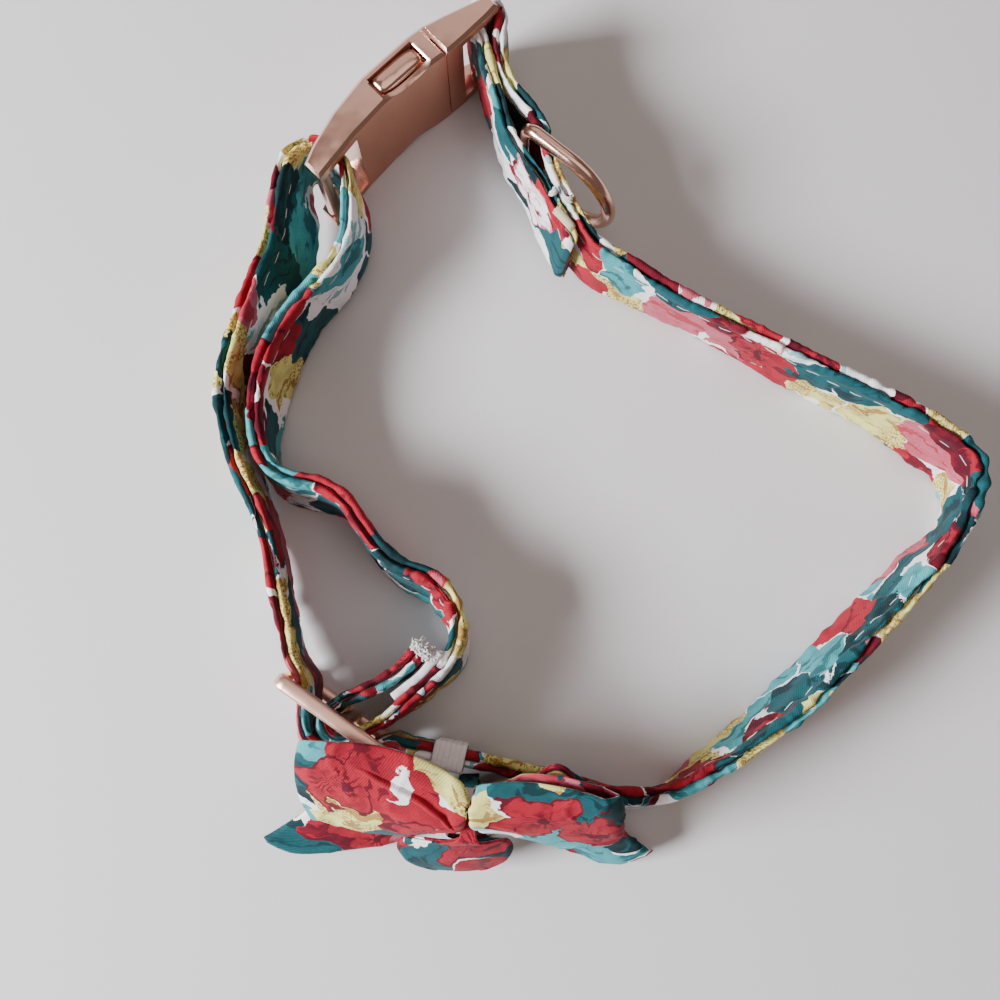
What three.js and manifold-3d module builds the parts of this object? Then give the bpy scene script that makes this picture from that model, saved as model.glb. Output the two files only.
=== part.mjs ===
// Adjustable fabric dog collar with a bow tie, standing on the edge of its strap.
// Millimetres, +Z up, floor at z = 0, origin near the middle of the collar's footprint.
import * as THREE from 'three';
import Module from 'manifold-3d';

const wasm = await Module();
wasm.setup();

// ---------------------------------------------------------------- sizes
const STRAP_WIDTH = 25;          // one-inch strap, standing on edge
const RIDGE_DROP = 1.0;          // depth of the groove between the two folded edges
const HARDWARE_HEIGHT = 33.4;    // buckle, slider and D-ring, across the strap
const RAIL = 3.5;                // height of each rail beside a strap slot
const LIFT = 4.2;                // foot of the strap where it runs in the hardware
const WIRE = 3.8;                // D-ring wire
const SLIDER_LENGTH = 37;
const SLIDER_THICK = 3.6;
const SLIDER_BAR = 2.8;
const COTTON = 1.0;              // one ply of the bow's cotton, with its lining
const GAP = 0.3;                 // clearance between separate pieces

// ---------------------------------------------------------------- where the hardware stands
const BUCKLE = { x: -72.3, y: 62.6, along: [0.715, 0.699] };
const SLIDER = { x: -78.5, y: -63.5, along: [0.823, -0.568] };
const D_RING = { x: -17.8, y: 75.0, along: [0.78, -0.626] };
const BAR_RADIUS = 1.9;          // rods that the strap is looped round
const MALE_BAR = { x: -28.4, y: 107.4 };
const FEMALE_BAR = { x: -70.9, y: 64.4 };

// ---------------------------------------------------------------- strap tables
// Doubled stretch from the male buckle down past the D-ring. The columns are the seam's x and y,
// the lean of the top edge away from the loop (degrees), and half the spacing of the two plies.
const DOUBLED = [
  [-27.4, 101.6, 0, 2.3],
  [-26.9, 97.0, 0, 1.95],
  [-25.4, 91.5, 0, 1.95],
  [-23.5, 86.8, 0, 2.3],
  [-20.9, 81.3, 0, 3.6],
  [-17.8, 75.0, 0, 4.15],
  [-15.2, 69.0, 1, 3.1],
  [-13.3, 63.6, 3.5, 2.05],
  [-11.0, 58.3, 5, 1.95],
  [-8.3, 52.8, 5.5, 1.95],
  [-5.7, 48.2, 5.5, 1.95],
];
const DOUBLED_THICK = 3.6;
const INNER_TIP = [-7.0, 45.0, -5.5, LIFT, 3.4];

// The columns of every strap table below are the centre line's x and y, the lean of the top edge
// to the left of travel (degrees), the foot of the strap above the floor, and its thickness.
const MAIN_UPPER = [
  [-0.4, 45.2, 5, 3.4, 4.2],
  [5.7, 42.1, 3, 2.4, 4.2],
  [11.7, 39.0, 0, 1.4, 4.2],
  [22.3, 33.6, -4, 0.3, 4.2],
  [32.9, 28.3, -3.5, 0, 4.2],
  [43.3, 22.6, -1, 0, 4.2],
  [53.5, 16.7, 1.8, 0, 4.2],
  [64.2, 11.2, 1.8, 0, 4.2],
  [74.9, 5.6, 2.4, 0, 4.2],
  [84.5, -0.8, 6, 0, 4.2],
  [91.0, -6.0, 8, 0, 4.2],
];
const CORNER = [
  [94.2, -9.2, 6, 0, 4.2],
  [95.6, -13.2, 1, 0, 4.4],
  [95.3, -18.2, -5, 0, 4.3],
  [93.6, -23.6, -5, 0, 4.2],
];
const MAIN_LOWER = [
  [90.2, -28.3, -1, 0, 4.2],
  [85.9, -32.8, 4.5, 0, 4.2],
  [76.8, -42.2, 7.5, 0, 4.2],
  [67.3, -51.7, 8.5, 0, 4.2],
  [57.5, -61.5, 9.8, 0, 4.2],
  [48.1, -70.4, 10, 0, 4.2],
  [38.4, -78.2, 6.2, 0, 4.2],
  [26.8, -86.4, 0, 0, 4.2],
  [15.9, -92.8, -8, 0.2, 4.2],
];
const BEHIND_BOW = [
  [4.6, -93.9, -10, 0.6, 4.2],
  [-5.4, -90.8, -7.5, 1.0, 4.2],
  [-13.4, -88.6, -6, 1.3, 4.2],
  [-21.0, -86.8, -5, 1.5, 4.0],
  [-29.6, -84.6, -4, 1.7, 4.0],
  [-37.0, -83.0, -3, 1.9, 4.0],
  [-43.4, -81.4, -2, 2.3, 4.0],
];
// Out of the slider's right slot, over its bars on the outer side, and back in at the left slot.
// The columns are the distance along the slider, the distance in front of it (inner side plus),
// and the strap's thickness, for both strands.
const THROUGH_SLIDER = [
  [35.2, 4.0, 3.2],
  [31.7, 3.1, 3.0],
  [29.0, 0.0, 3.0],
  [26.6, -3.2, 3.0],
  [23.6, -6.6, 3.2],
  [18.6, -8.2, 3.2],
  [13.4, -7.6, 3.2],
  [10.0, -4.4, 3.0],
  [7.6, -0.8, 3.0],
  [5.2, 2.4, 3.0],
];
const OUTER_STRAND = [
  [-76.4, -58.5, -2, 3.9, 3.4],
  [-78.3, -51.6, -4, 3.4, 4.2],
  [-80.6, -43.5, -4, 2.4, 4.2],
  [-83.4, -30.6, -4, 1.6, 4.2],
  [-86.8, -20.5, -2, 1.2, 4.2],
  [-91.5, -9.2, 1, 1.0, 4.2],
  [-94.6, 3.5, 2, 1.0, 4.2],
  [-94.8, 11.5, 3, 1.4, 4.2],
  [-90.6, 24.3, 8, 2.2, 4.2],
  [-85.8, 36.1, 12, 3.0, 4.2],
  [-81.2, 46.4, 17, 3.8, 4.2],
  [-79.9, 56.8, 15, 4.2, 4.0],
  [-79.3, 66.6, 8, 4.2, 3.8],
];
const FEMALE_LOOP = [
  [-77.2, 71.9, 0, 4.2, 3.4],
  [-72.8, 73.2, 0, 4.2, 3.2],
  [-68.4, 71.4, 0, 4.2, 3.2],
  [-65.4, 68.0, 0, 4.2, 3.2],
  [-63.8, 63.4, -3, 4.2, 3.6],
];
const INNER_STRAND = [
  [-63.3, 56.5, -4, 3.8, 4.2],
  [-64.2, 48.5, -2, 3.2, 4.2],
  [-67.8, 41.0, -1, 2.8, 4.2],
  [-73.2, 34.4, -2, 2.4, 4.2],
  [-78.3, 27.8, -5, 2.0, 4.2],
  [-82.1, 20.8, -7, 1.6, 4.2],
  [-84.9, 12.6, -7, 1.2, 4.2],
  [-86.4, 4.0, -4, 1.0, 4.2],
  [-86.2, -5.0, 1, 1.0, 4.2],
];
const S_BEND = [
  [-83.8, -11.6, 5, 1.0, 4.2],
  [-78.4, -15.2, 7, 1.0, 4.2],
  [-71.0, -16.9, 7, 1.0, 4.2],
  [-64.6, -20.2, 4, 1.0, 4.2],
  [-60.2, -25.6, 2, 1.0, 4.2],
  [-56.1, -31.6, 3.5, 1.0, 4.2],
  [-50.3, -37.2, 7, 1.0, 4.2],
  [-43.9, -40.2, 9, 1.0, 4.4],
  [-39.2, -43.9, 8, 1.2, 4.6],
  [-36.2, -49.4, 3, 1.6, 4.6],
  [-35.5, -55.2, -2, 2.2, 4.4],
  [-37.9, -61.2, -5, 2.8, 4.2],
  [-43.0, -66.2, -4, 3.4, 4.0],
  [-47.6, -70.0, -3, 3.8, 3.8],
];
const ROUND_CENTRE_BAR = [
  [27.2, 6.6, 3.4],
  [25.2, 2.8, 3.0],
  [23.4, -0.8, 3.0],
  [21.2, -3.6, 3.0],
  [18.5, -4.5, 3.0],
  [15.8, -3.6, 3.0],
  [14.2, -0.9, 3.0],
  [15.0, 2.6, 3.0],
];
const SEWN_END = [
  [-61.6, -68.4, 0, 4.2, 3.4],
  [-57.0, -66.3, 0, 4.2, 3.8],
  [-52.3, -64.6, 0, 4.0, 5.4],
  [-47.5, -61.8, 0, 3.8, 6.0],
  [-43.4, -57.9, 0, 3.6, 5.8],
];

// ---------------------------------------------------------------- buckle tables
// Columns are the distance along the buckle and the inner and outer sides' distance from its axis.
const SIDES = [
  [0, -2.6, 3.0],
  [5, -1.8, 5.2],
  [14.5, -0.4, 8.0],
  [26, 0.5, 9.8],
  [36, 0.2, 9.8],
  [41.5, -0.3, 9.7],
  [46, -0.8, 9.3],
  [52, -1.0, 7.7],
  [60.8, -0.9, 5.0],
  [65, -0.5, 3.6],
];
const SPLIT = 46;                // where the male half's body meets the socket
const BUCKLE_END = 65;
const FEMALE_SLOT = [-1, 14.5];  // each slot is closed at its outer end by a rod
const MALE_SLOT = [51.8, 66];
const WINDOW = [26.5, 41.5];
const SOCKET_FROM = 17;
const WALL = 1.7;

// ---------------------------------------------------------------- bow tables
// Each row is one section of the bow's looped strip, from the middle of the back out to the left
// fold, along the front to the right fold, and home. The columns are x, y and z of the strip's
// top edge, of its middle, and of its bottom edge.
const FRONT_BOW = [
  [-33.2, -95.0, 25.0, -33.2, -98.2, 16.0, -33.2, -97.5, 8.0],
  [-35.8, -95.0, 25.2, -35.8, -98.0, 16.0, -35.8, -97.5, 8.0],
  [-37.6, -90.5, 32.0, -38.4, -95.6, 21.0, -38.6, -98.0, 10.0],
  [-46.0, -84.8, 36.5, -47.0, -92.4, 25.0, -47.0, -98.5, 12.5],
  [-58.0, -79.4, 40.0, -60.0, -88.2, 27.5, -60.0, -97.0, 14.0],
  [-67.4, -77.9, 41.6, -70.4, -87.0, 29.0, -67.8, -97.2, 16.4],
  [-70.2, -77.2, 44.4, -73.2, -88.6, 30.0, -70.8, -98.4, 15.6],
  [-67.4, -77.2, 46.2, -70.4, -90.2, 31.0, -68.0, -99.0, 14.4],
  [-58.0, -77.6, 46.2, -59.0, -93.0, 32.5, -59.6, -102.0, 13.0],
  [-46.0, -80.2, 43.8, -46.4, -95.8, 33.4, -48.4, -101.6, 16.2],
  [-38.4, -83.6, 41.4, -38.8, -96.6, 34.0, -43.4, -100.4, 20.0],
  [-33.2, -87.7, 39.4, -33.6, -97.0, 33.8, -40.2, -99.8, 20.4],
  [-36.8, -93.0, 33.4, -37.2, -98.0, 27.0, -38.6, -99.6, 15.6],
  [-36.9, -96.4, 27.8, -37.3, -101.6, 19.0, -37.4, -101.6, 8.0],
  [-35.4, -99.2, 25.0, -35.4, -102.4, 17.0, -35.4, -101.8, 7.4],
  [-32.8, -99.2, 25.0, -32.8, -102.4, 17.0, -32.8, -101.8, 7.4],
  [-30.2, -99.2, 25.0, -30.2, -102.4, 17.0, -30.2, -101.8, 7.4],
  [-28.7, -96.4, 27.8, -28.3, -101.6, 19.0, -27.9, -101.6, 8.0],
  [-28.8, -93.0, 33.4, -28.4, -98.0, 27.0, -27.2, -99.6, 15.6],
  [-31.1, -88.2, 39.2, -31.4, -97.2, 33.6, -25.4, -99.8, 20.4],
  [-27.2, -87.2, 40.4, -26.6, -97.2, 33.4, -22.4, -100.6, 20.0],
  [-19.0, -86.8, 41.3, -18.4, -98.0, 32.6, -16.8, -103.0, 17.6],
  [-8.0, -88.4, 41.2, -7.6, -98.6, 32.0, -8.0, -105.4, 16.0],
  [0.0, -90.6, 40.2, 1.2, -99.2, 31.0, 0.4, -104.4, 18.0],
  [2.6, -89.8, 39.2, 4.0, -98.0, 29.5, 3.4, -103.2, 18.4],
  [0.0, -88.6, 38.6, 1.2, -97.0, 28.6, 0.4, -102.8, 17.8],
  [-8.0, -86.2, 40.0, -7.6, -96.6, 28.9, -8.0, -103.4, 15.6],
  [-18.6, -85.0, 39.4, -18.4, -95.6, 27.2, -18.0, -101.6, 13.6],
  [-28.4, -90.6, 32.4, -27.6, -96.2, 21.0, -27.2, -98.6, 10.4],
  [-29.8, -95.0, 25.2, -29.8, -98.0, 16.0, -29.8, -97.5, 8.0],
  [-31.6, -95.0, 25.0, -31.6, -98.2, 16.0, -31.6, -97.5, 8.0],
];
const BACK_BOW = [
  [-33.2, -91.2, 22.6, -33.2, -91.0, 14.5, -33.2, -91.2, 4.4],
  [-36.2, -91.0, 22.8, -36.2, -91.0, 14.5, -36.2, -91.4, 4.2],
  [-45.0, -88.6, 25.4, -46.0, -91.4, 17.5, -47.0, -96.5, 3.4],
  [-57.0, -85.6, 27.4, -60.0, -89.8, 17.0, -62.0, -101.0, 2.8],
  [-63.6, -84.6, 27.4, -67.0, -91.0, 16.0, -77.0, -103.0, 2.4],
  [-65.8, -85.4, 28.0, -69.4, -93.6, 14.6, -85.8, -104.6, 5.0],
  [-63.6, -86.4, 27.4, -67.0, -95.0, 14.0, -79.4, -108.8, 3.4],
  [-57.0, -87.6, 26.8, -60.0, -93.6, 14.6, -65.0, -108.2, 3.4],
  [-45.0, -90.6, 25.0, -46.0, -94.4, 15.6, -49.0, -105.0, 3.4],
  [-36.2, -93.4, 22.8, -36.2, -93.6, 14.5, -36.2, -94.2, 4.2],
  [-32.8, -93.4, 22.6, -32.8, -93.6, 14.5, -32.8, -94.2, 4.2],
  [-29.4, -93.4, 22.8, -29.4, -93.6, 14.5, -29.4, -94.2, 4.2],
  [-22.0, -92.4, 26.6, -21.4, -95.4, 17.5, -20.0, -103.4, 3.4],
  [-12.4, -84.7, 38.3, -11.2, -94.2, 26.0, -7.0, -108.2, 3.2],
  [-5.0, -89.2, 32.2, 0.2, -101.4, 17.0, 6.0, -111.6, 3.6],
  [-2.6, -88.1, 31.4, 5.4, -101.2, 16.0, 14.0, -107.6, 7.4],
  [-5.0, -87.5, 31.2, 0.0, -97.1, 21.8, 5.4, -105.6, 3.6],
  [-12.4, -82.9, 38.1, -11.2, -92.2, 26.0, -8.4, -100.6, 3.0],
  [-22.0, -90.2, 26.4, -21.6, -92.6, 17.4, -21.0, -96.4, 3.2],
  [-29.4, -91.0, 22.8, -29.4, -91.0, 14.5, -29.4, -91.4, 4.2],
  [-31.6, -91.2, 22.6, -31.6, -91.0, 14.5, -31.6, -91.2, 4.4],
];
// The wrap: columns are y and z on its way round, its half width, and the x of its middle.
const WRAP = [
  [-89.0, 8.0, 2.4, -32.8],
  [-88.6, 15.0, 2.4, -32.8],
  [-88.9, 21.5, 2.4, -32.8],
  [-90.6, 25.7, 2.3, -32.8],
  [-95.0, 26.8, 2.2, -32.8],
  [-101.4, 26.5, 2.1, -32.7],
  [-102.5, 25.4, 4.6, -33.8],
  [-103.2, 23.6, 12.4, -35.9],
  [-105.7, 20.2, 14.2, -36.1],
  [-109.2, 14.6, 12.8, -35.9],
  [-111.0, 10.4, 9.4, -35.7],
  [-111.8, 6.4, 5.6, -35.4],
  [-108.8, 2.8, 3.8, -34.6],
  [-98.6, 2.0, 3.0, -33.2],
  [-92.4, 2.1, 2.6, -32.8],
  [-89.8, 3.8, 2.4, -32.8],
];
const WRAP_THICK = 1.3;
const ELASTIC = { x: -37.0, y: -83.0, width: 9, thick: 0.9, lean: 3, foot: 2.0 };

// ---------------------------------------------------------------- making closed solids
function solid(positions, triangles) {
  const geometry = new THREE.BufferGeometry();
  geometry.setAttribute('position', new THREE.Float32BufferAttribute(positions.flat(), 3));
  geometry.setIndex(triangles.flat());
  return geometry;
}

function toManifold(geometry) {
  const position = geometry.attributes.position;
  const index = geometry.index;
  const keys = new Map();
  const vertProperties = [];
  const remap = [];
  for (let i = 0; i < position.count; i += 1) {
    const at = [position.getX(i), position.getY(i), position.getZ(i)];
    const key = at.map((n) => Math.round(n * 1e4)).join(',');
    if (!keys.has(key)) {
      keys.set(key, keys.size);
      vertProperties.push(...at);
    }
    remap.push(keys.get(key));
  }
  const triVerts = [];
  const count = index ? index.count : position.count;
  for (let i = 0; i < count; i += 3) {
    const corner = [0, 1, 2].map((k) => remap[index ? index.getX(i + k) : i + k]);
    if (new Set(corner).size === 3) triVerts.push(...corner);
  }
  return new wasm.Manifold(new wasm.Mesh({
    numProp: 3,
    vertProperties: new Float32Array(vertProperties),
    triVerts: new Uint32Array(triVerts),
  }));
}

function fromManifold(manifold) {
  const mesh = manifold.getMesh();
  const geometry = new THREE.BufferGeometry();
  const points = [];
  for (let i = 0; i < mesh.vertProperties.length; i += mesh.numProp) {
    points.push(...mesh.vertProperties.slice(i, i + 3));
  }
  geometry.setAttribute('position', new THREE.Float32BufferAttribute(points, 3));
  geometry.setIndex([...mesh.triVerts]);
  return geometry;
}

// Joins a run of rings, each with as many points as the next, and caps the two ends.
function loft(rings, flip = false) {
  const n = rings[0].length;
  const triangles = [];
  const put = (a, b, c) => triangles.push(flip ? [a, c, b] : [a, b, c]);
  for (let i = 0; i + 1 < rings.length; i += 1) {
    for (let k = 0; k < n; k += 1) {
      const a = i * n + k;
      const b = i * n + ((k + 1) % n);
      put(a, b, b + n);
      put(a, b + n, a + n);
    }
  }
  const cap = (ring, offset, turn) => {
    const flat = flatten(ring);
    for (const [a, b, c] of THREE.ShapeUtils.triangulateShape(flat, [])) {
      const ahead = THREE.ShapeUtils.isClockWise([flat[a], flat[b], flat[c]]);
      const same = ahead === THREE.ShapeUtils.isClockWise(flat);
      const [q, r] = same === turn ? [b, c] : [c, b];
      put(offset + a, offset + q, offset + r);
    }
  };
  cap(rings[0], 0, false);
  cap(rings[rings.length - 1], (rings.length - 1) * n, true);
  return solid(rings.flat(), triangles);
}

// The ring's own plane, as two-dimensional points.
function flatten(ring) {
  const points = ring.map((p) => new THREE.Vector3(...p));
  const normal = new THREE.Vector3();
  for (let i = 0; i < points.length; i += 1) {
    const p = points[i];
    const q = points[(i + 1) % points.length];
    normal.add(p.clone().cross(q));
  }
  normal.normalize();
  const u = new THREE.Vector3(0, 0, 1);
  if (Math.abs(normal.z) > 0.9) u.set(1, 0, 0);
  u.addScaledVector(normal, -u.dot(normal)).normalize();
  const v = normal.clone().cross(u);
  return points.map((p) => new THREE.Vector2(p.dot(u), p.dot(v)));
}

// Smooth line through the rows of a table: every column is carried along.
function smooth(rows, longest, closed = false) {
  const count = rows.length;
  const at = (i) => (closed ? rows[(i + count) % count] : rows[Math.min(Math.max(i, 0), count - 1)]);
  const apart = (a, b) => Math.max(Math.sqrt(Math.hypot(...a.map((n, k) => n - b[k]))), 1e-3);
  const out = [];
  for (let i = 0; i < (closed ? count : count - 1); i += 1) {
    const [p, q, r, s] = [at(i - 1), at(i), at(i + 1), at(i + 2)];
    const [pq, qr, rs] = [apart(p, q), apart(q, r), apart(r, s)];
    const steps = Math.max(1, Math.ceil(Math.hypot(r[0] - q[0], r[1] - q[1]) / longest));
    for (let k = 0; k < steps; k += 1) {
      const t = k / steps;
      out.push(q.map((n, c) => {
        const m1 = ((n - p[c]) / pq - (r[c] - p[c]) / (pq + qr) + (r[c] - n) / qr) * qr;
        const m2 = ((r[c] - n) / qr - (s[c] - n) / (qr + rs) + (s[c] - r[c]) / rs) * qr;
        const start = p === q ? (r[c] - n) : m1;
        const end = r === s ? (r[c] - n) : m2;
        const t2 = t * t;
        const t3 = t2 * t;
        return (2 * t3 - 3 * t2 + 1) * n + (t3 - 2 * t2 + t) * start
          + (3 * t2 - 2 * t3) * r[c] + (t3 - t2) * end;
      }));
    }
  }
  if (!closed) out.push(rows[count - 1]);
  return out;
}

// ---------------------------------------------------------------- strap
// Half of the strap's section, as a share of half the thickness and a height from the edge.
const EDGE = [
  [0.0, RIDGE_DROP],
  [0.55, 0.0],
  [1.0, 1.1],
  [0.86, 3.6],
];

function strapSection([x, y, lean, foot, thick], tangent) {
  const left = [-tangent[1], tangent[0]];
  const tilt = THREE.MathUtils.degToRad(lean);
  const half = thick / 2;
  const mid = STRAP_WIDTH / 2;
  const raise = foot - (mid * (1 - Math.cos(tilt)));
  const point = (side, height) => {
    const over = side * Math.cos(tilt) + (height - mid) * Math.sin(tilt);
    const up = (height - mid) * Math.cos(tilt) - side * Math.sin(tilt);
    return [x + left[0] * over, y + left[1] * over, Math.max(mid + up + raise, foot)];
  };
  const ring = [];
  for (const [share, h] of EDGE) ring.push(point(share * half, h));
  ring.push(point(0.92 * half, mid));
  for (const [share, h] of [...EDGE].reverse()) ring.push(point(share * half, STRAP_WIDTH - h));
  for (const [share, h] of EDGE.slice(1)) ring.push(point(-share * half, STRAP_WIDTH - h));
  ring.push(point(-0.92 * half, mid));
  for (const [share, h] of EDGE.slice(1).reverse()) ring.push(point(-share * half, h));
  return ring;
}

function sideOf(rows, side, thick) {
  return rows.map(([x, y, lean, part], i) => {
    const before = rows[Math.max(i - 1, 0)];
    const after = rows[Math.min(i + 1, rows.length - 1)];
    const length = Math.hypot(after[0] - before[0], after[1] - before[1]);
    const out = [(before[1] - after[1]) / length, (after[0] - before[0]) / length];
    return [x + side * part * out[0], y + side * part * out[1], side * lean, LIFT, thick];
  });
}

function onSlider(rows) {
  const [ax, ay] = SLIDER.along;
  return rows.map(([t, s, thick]) => [
    SLIDER.x + t * ax - s * ay,
    SLIDER.y + t * ay + s * ax,
    0,
    LIFT,
    thick,
  ]);
}

function roundBar(bar, radius, from, to, count, thick) {
  const rows = [];
  for (let i = 0; i < count; i += 1) {
    const angle = THREE.MathUtils.degToRad(from + ((to - from) * i) / (count - 1));
    rows.push([
      bar.x + radius * Math.cos(angle), bar.y + radius * Math.sin(angle), 0, LIFT, thick,
    ]);
  }
  return rows;
}

function strap() {
  const rows = [
    INNER_TIP,
    ...sideOf(DOUBLED, -1, DOUBLED_THICK).slice(0, -1).reverse(),
    ...roundBar(MALE_BAR, 4.0, 205, 0, 6, 3.2),
    ...sideOf(DOUBLED, 1, DOUBLED_THICK),
    ...MAIN_UPPER,
    ...CORNER,
    ...MAIN_LOWER,
    ...BEHIND_BOW,
    ...onSlider(THROUGH_SLIDER),
    ...OUTER_STRAND,
    ...FEMALE_LOOP,
    ...INNER_STRAND,
    ...S_BEND,
    ...onSlider(ROUND_CENTRE_BAR),
    ...SEWN_END,
  ];
  const line = smooth(rows, 7.5);
  const rings = line.map((row, i) => {
    const a = line[Math.max(i - 1, 0)];
    const b = line[Math.min(i + 1, line.length - 1)];
    const length = Math.hypot(b[0] - a[0], b[1] - a[1]);
    return strapSection(row, [(b[0] - a[0]) / length, (b[1] - a[1]) / length]);
  });
  return loft(rings);
}

// ---------------------------------------------------------------- buckle
function onBuckle(a, m, z) {
  const [ax, ay] = BUCKLE.along;
  return [BUCKLE.x + a * ax - m * ay, BUCKLE.y + a * ay + m * ax, z];
}

function sideAt(a, column) {
  for (let i = 0; i + 1 < SIDES.length; i += 1) {
    const [p, q] = [SIDES[i], SIDES[i + 1]];
    if (a <= q[0]) return p[column] + ((q[column] - p[column]) * (a - p[0])) / (q[0] - p[0]);
  }
  return SIDES[SIDES.length - 1][column];
}

// A slice of the buckle's outline from one distance to another, in from its sides by an inset.
function outline(from, to, inside, outside, ends) {
  const stations = [
    from + ends,
    ...SIDES.map((row) => row[0]).filter((a) => a > from + 2 && a < to - 2),
    to - ends,
  ];
  const inner = stations.map((a) => [a, sideAt(a, 1) + inside]);
  const outer = stations.map((a) => [a, sideAt(a, 2) - outside]).reverse();
  return [...inner, ...outer];
}

function bar(levels, from, to, insets) {
  return toManifold(loft(levels.map((z, i) => outline(from, to, ...insets[i]).map(
    ([a, m]) => onBuckle(a, m, z),
  ))));
}

function body(from, to) {
  const levels = [0, 0.9, HARDWARE_HEIGHT - 0.9, HARDWARE_HEIGHT];
  const soft = [0.9, 0.9, 0.7];
  const sharp = [0, 0, 0];
  return bar(levels, from, to, [soft, sharp, sharp, soft]);
}

function plain(from, to, low, high, inside, outside) {
  const inset = [inside, outside, 0];
  return bar([low, high], from, to, [inset, inset]);
}

// A thumb scallop that lowers the inner rim of a window; up is 1 for the top side, -1 below.
function scallop(up) {
  const radius = 16;
  const middle = (WINDOW[0] + WINDOW[1]) / 2;
  const rim = up > 0 ? HARDWARE_HEIGHT : 0;
  const rings = [-4, 7.2].map((m) => {
    const ring = [];
    for (let i = 0; i < 40; i += 1) {
      const angle = (2 * Math.PI * i) / 40;
      const z = rim + up * (radius - 2.2) + radius * Math.sin(angle);
      ring.push(onBuckle(middle + radius * Math.cos(angle), m, z));
    }
    return ring;
  });
  const cut = toManifold(loft(rings, true));
  return cut.volume() > 0 ? cut : toManifold(loft(rings));
}

function rod(at) {
  const geometry = new THREE.CylinderGeometry(BAR_RADIUS, BAR_RADIUS, HARDWARE_HEIGHT - RAIL, 16);
  geometry.rotateX(Math.PI / 2);
  geometry.translate(at.x, at.y, HARDWARE_HEIGHT / 2);
  return toManifold(geometry);
}

function buckleFemale() {
  const top = HARDWARE_HEIGHT;
  return fromManifold(body(0, SPLIT)
    .subtract(plain(...FEMALE_SLOT, RAIL, top - RAIL, -6, -6))
    .subtract(plain(SOCKET_FROM, SPLIT + 3, 3.2, top - 3.2, WALL, WALL))
    .subtract(plain(...WINDOW, top - 4, top + 2, WALL, WALL))
    .subtract(plain(...WINDOW, -2, 4, WALL, WALL))
    .subtract(scallop(1))
    .subtract(scallop(-1))
    .add(rod(FEMALE_BAR)));
}

function button(up) {
  const [from, to] = [WINDOW[0] + 0.4, WINDOW[1] - 0.4];
  const rim = up > 0 ? HARDWARE_HEIGHT : 0;
  const insets = [
    [WALL + 0.4, WALL + 0.4, 0],
    [WALL + 0.4, WALL + 0.4, 0],
    [WALL + 0.9, WALL + 0.9, 1.0],
    [WALL + 2.0, WALL + 2.0, 2.6],
  ];
  const levels = [-6.2, -1.9, -0.9, -0.3].map((drop) => rim + up * drop);
  return up > 0 ? bar(levels, from, to, insets)
    : bar([...levels].reverse(), from, to, [...insets].reverse());
}

function buckleMale() {
  const top = HARDWARE_HEIGHT;
  const inset = WALL + 0.5;
  return fromManifold(body(SPLIT + GAP, BUCKLE_END)
    .subtract(plain(...MALE_SLOT, RAIL, top - RAIL, -6, -6))
    .add(plain(WINDOW[0] + 0.4, SPLIT + 2, 3.8, 9.4, inset, inset))
    .add(plain(WINDOW[0] + 0.4, SPLIT + 2, top - 9.4, top - 3.8, inset, inset))
    .add(plain(SPLIT - 9, SPLIT + 2, 12.7, top - 12.7, inset, inset))
    .add(button(1))
    .add(button(-1))
    .add(rod(MALE_BAR)));
}

// ---------------------------------------------------------------- slider and D-ring
function rounded(path, x, y, w, h, r) {
  path.moveTo(x + r, y);
  path.lineTo(x + w - r, y);
  path.absarc(x + w - r, y + r, r, -Math.PI / 2, 0);
  path.lineTo(x + w, y + h - r);
  path.absarc(x + w - r, y + h - r, r, 0, Math.PI / 2);
  path.lineTo(x + r, y + h);
  path.absarc(x + r, y + h - r, r, Math.PI / 2, Math.PI);
  path.lineTo(x, y + r);
  path.absarc(x + r, y + r, r, Math.PI, 1.5 * Math.PI);
  return path;
}

function slider() {
  const shape = rounded(new THREE.Shape(), 0, 0, SLIDER_LENGTH, HARDWARE_HEIGHT, 3);
  const slot = (SLIDER_LENGTH - 3 * SLIDER_BAR) / 2;
  for (const x of [SLIDER_BAR, 2 * SLIDER_BAR + slot]) {
    const hole = rounded(new THREE.Path(), x, RAIL, slot, HARDWARE_HEIGHT - 2 * RAIL, 0.8);
    shape.holes.push(hole);
  }
  const geometry = new THREE.ExtrudeGeometry(shape, {
    depth: SLIDER_THICK - 1.6,
    bevelThickness: 0.8,
    bevelSize: 0.8,
    bevelOffset: -0.8,
    bevelSegments: 2,
    curveSegments: 2,
  });
  const [ax, ay] = SLIDER.along;
  const place = new THREE.Matrix4().makeBasis(
    new THREE.Vector3(ax, ay, 0),
    new THREE.Vector3(0, 0, 1),
    new THREE.Vector3(ay, -ax, 0),
  );
  geometry.translate(0, 0, 0.8 - SLIDER_THICK / 2);
  geometry.applyMatrix4(place);
  geometry.translate(SLIDER.x, SLIDER.y, 0);
  return fromManifold(toManifold(geometry));
}

function dRing() {
  const low = WIRE / 2;
  const high = HARDWARE_HEIGHT - WIRE / 2;
  const radius = (high - low) / 2;
  const straight = 12.8;
  const corner = 3;
  const path = new THREE.Path();
  path.moveTo(0, low + corner);
  path.absarc(corner, low + corner, corner, Math.PI, 1.5 * Math.PI);
  path.lineTo(straight, low);
  path.absarc(straight, low + radius, radius, -Math.PI / 2, Math.PI / 2);
  path.lineTo(corner, high);
  path.absarc(corner, high - corner, corner, Math.PI / 2, Math.PI);
  path.lineTo(0, low + corner);
  const points = path.getSpacedPoints(56).slice(0, -1);
  const [ax, ay] = D_RING.along;
  const line = points.map((p) => new THREE.Vector3(D_RING.x + p.x * ax, D_RING.y + p.x * ay, p.y));
  const curve = new THREE.CatmullRomCurve3(line, true);
  const tube = new THREE.TubeGeometry(curve, 56, WIRE / 2, 8, true);
  return fromManifold(toManifold(tube));
}

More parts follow.
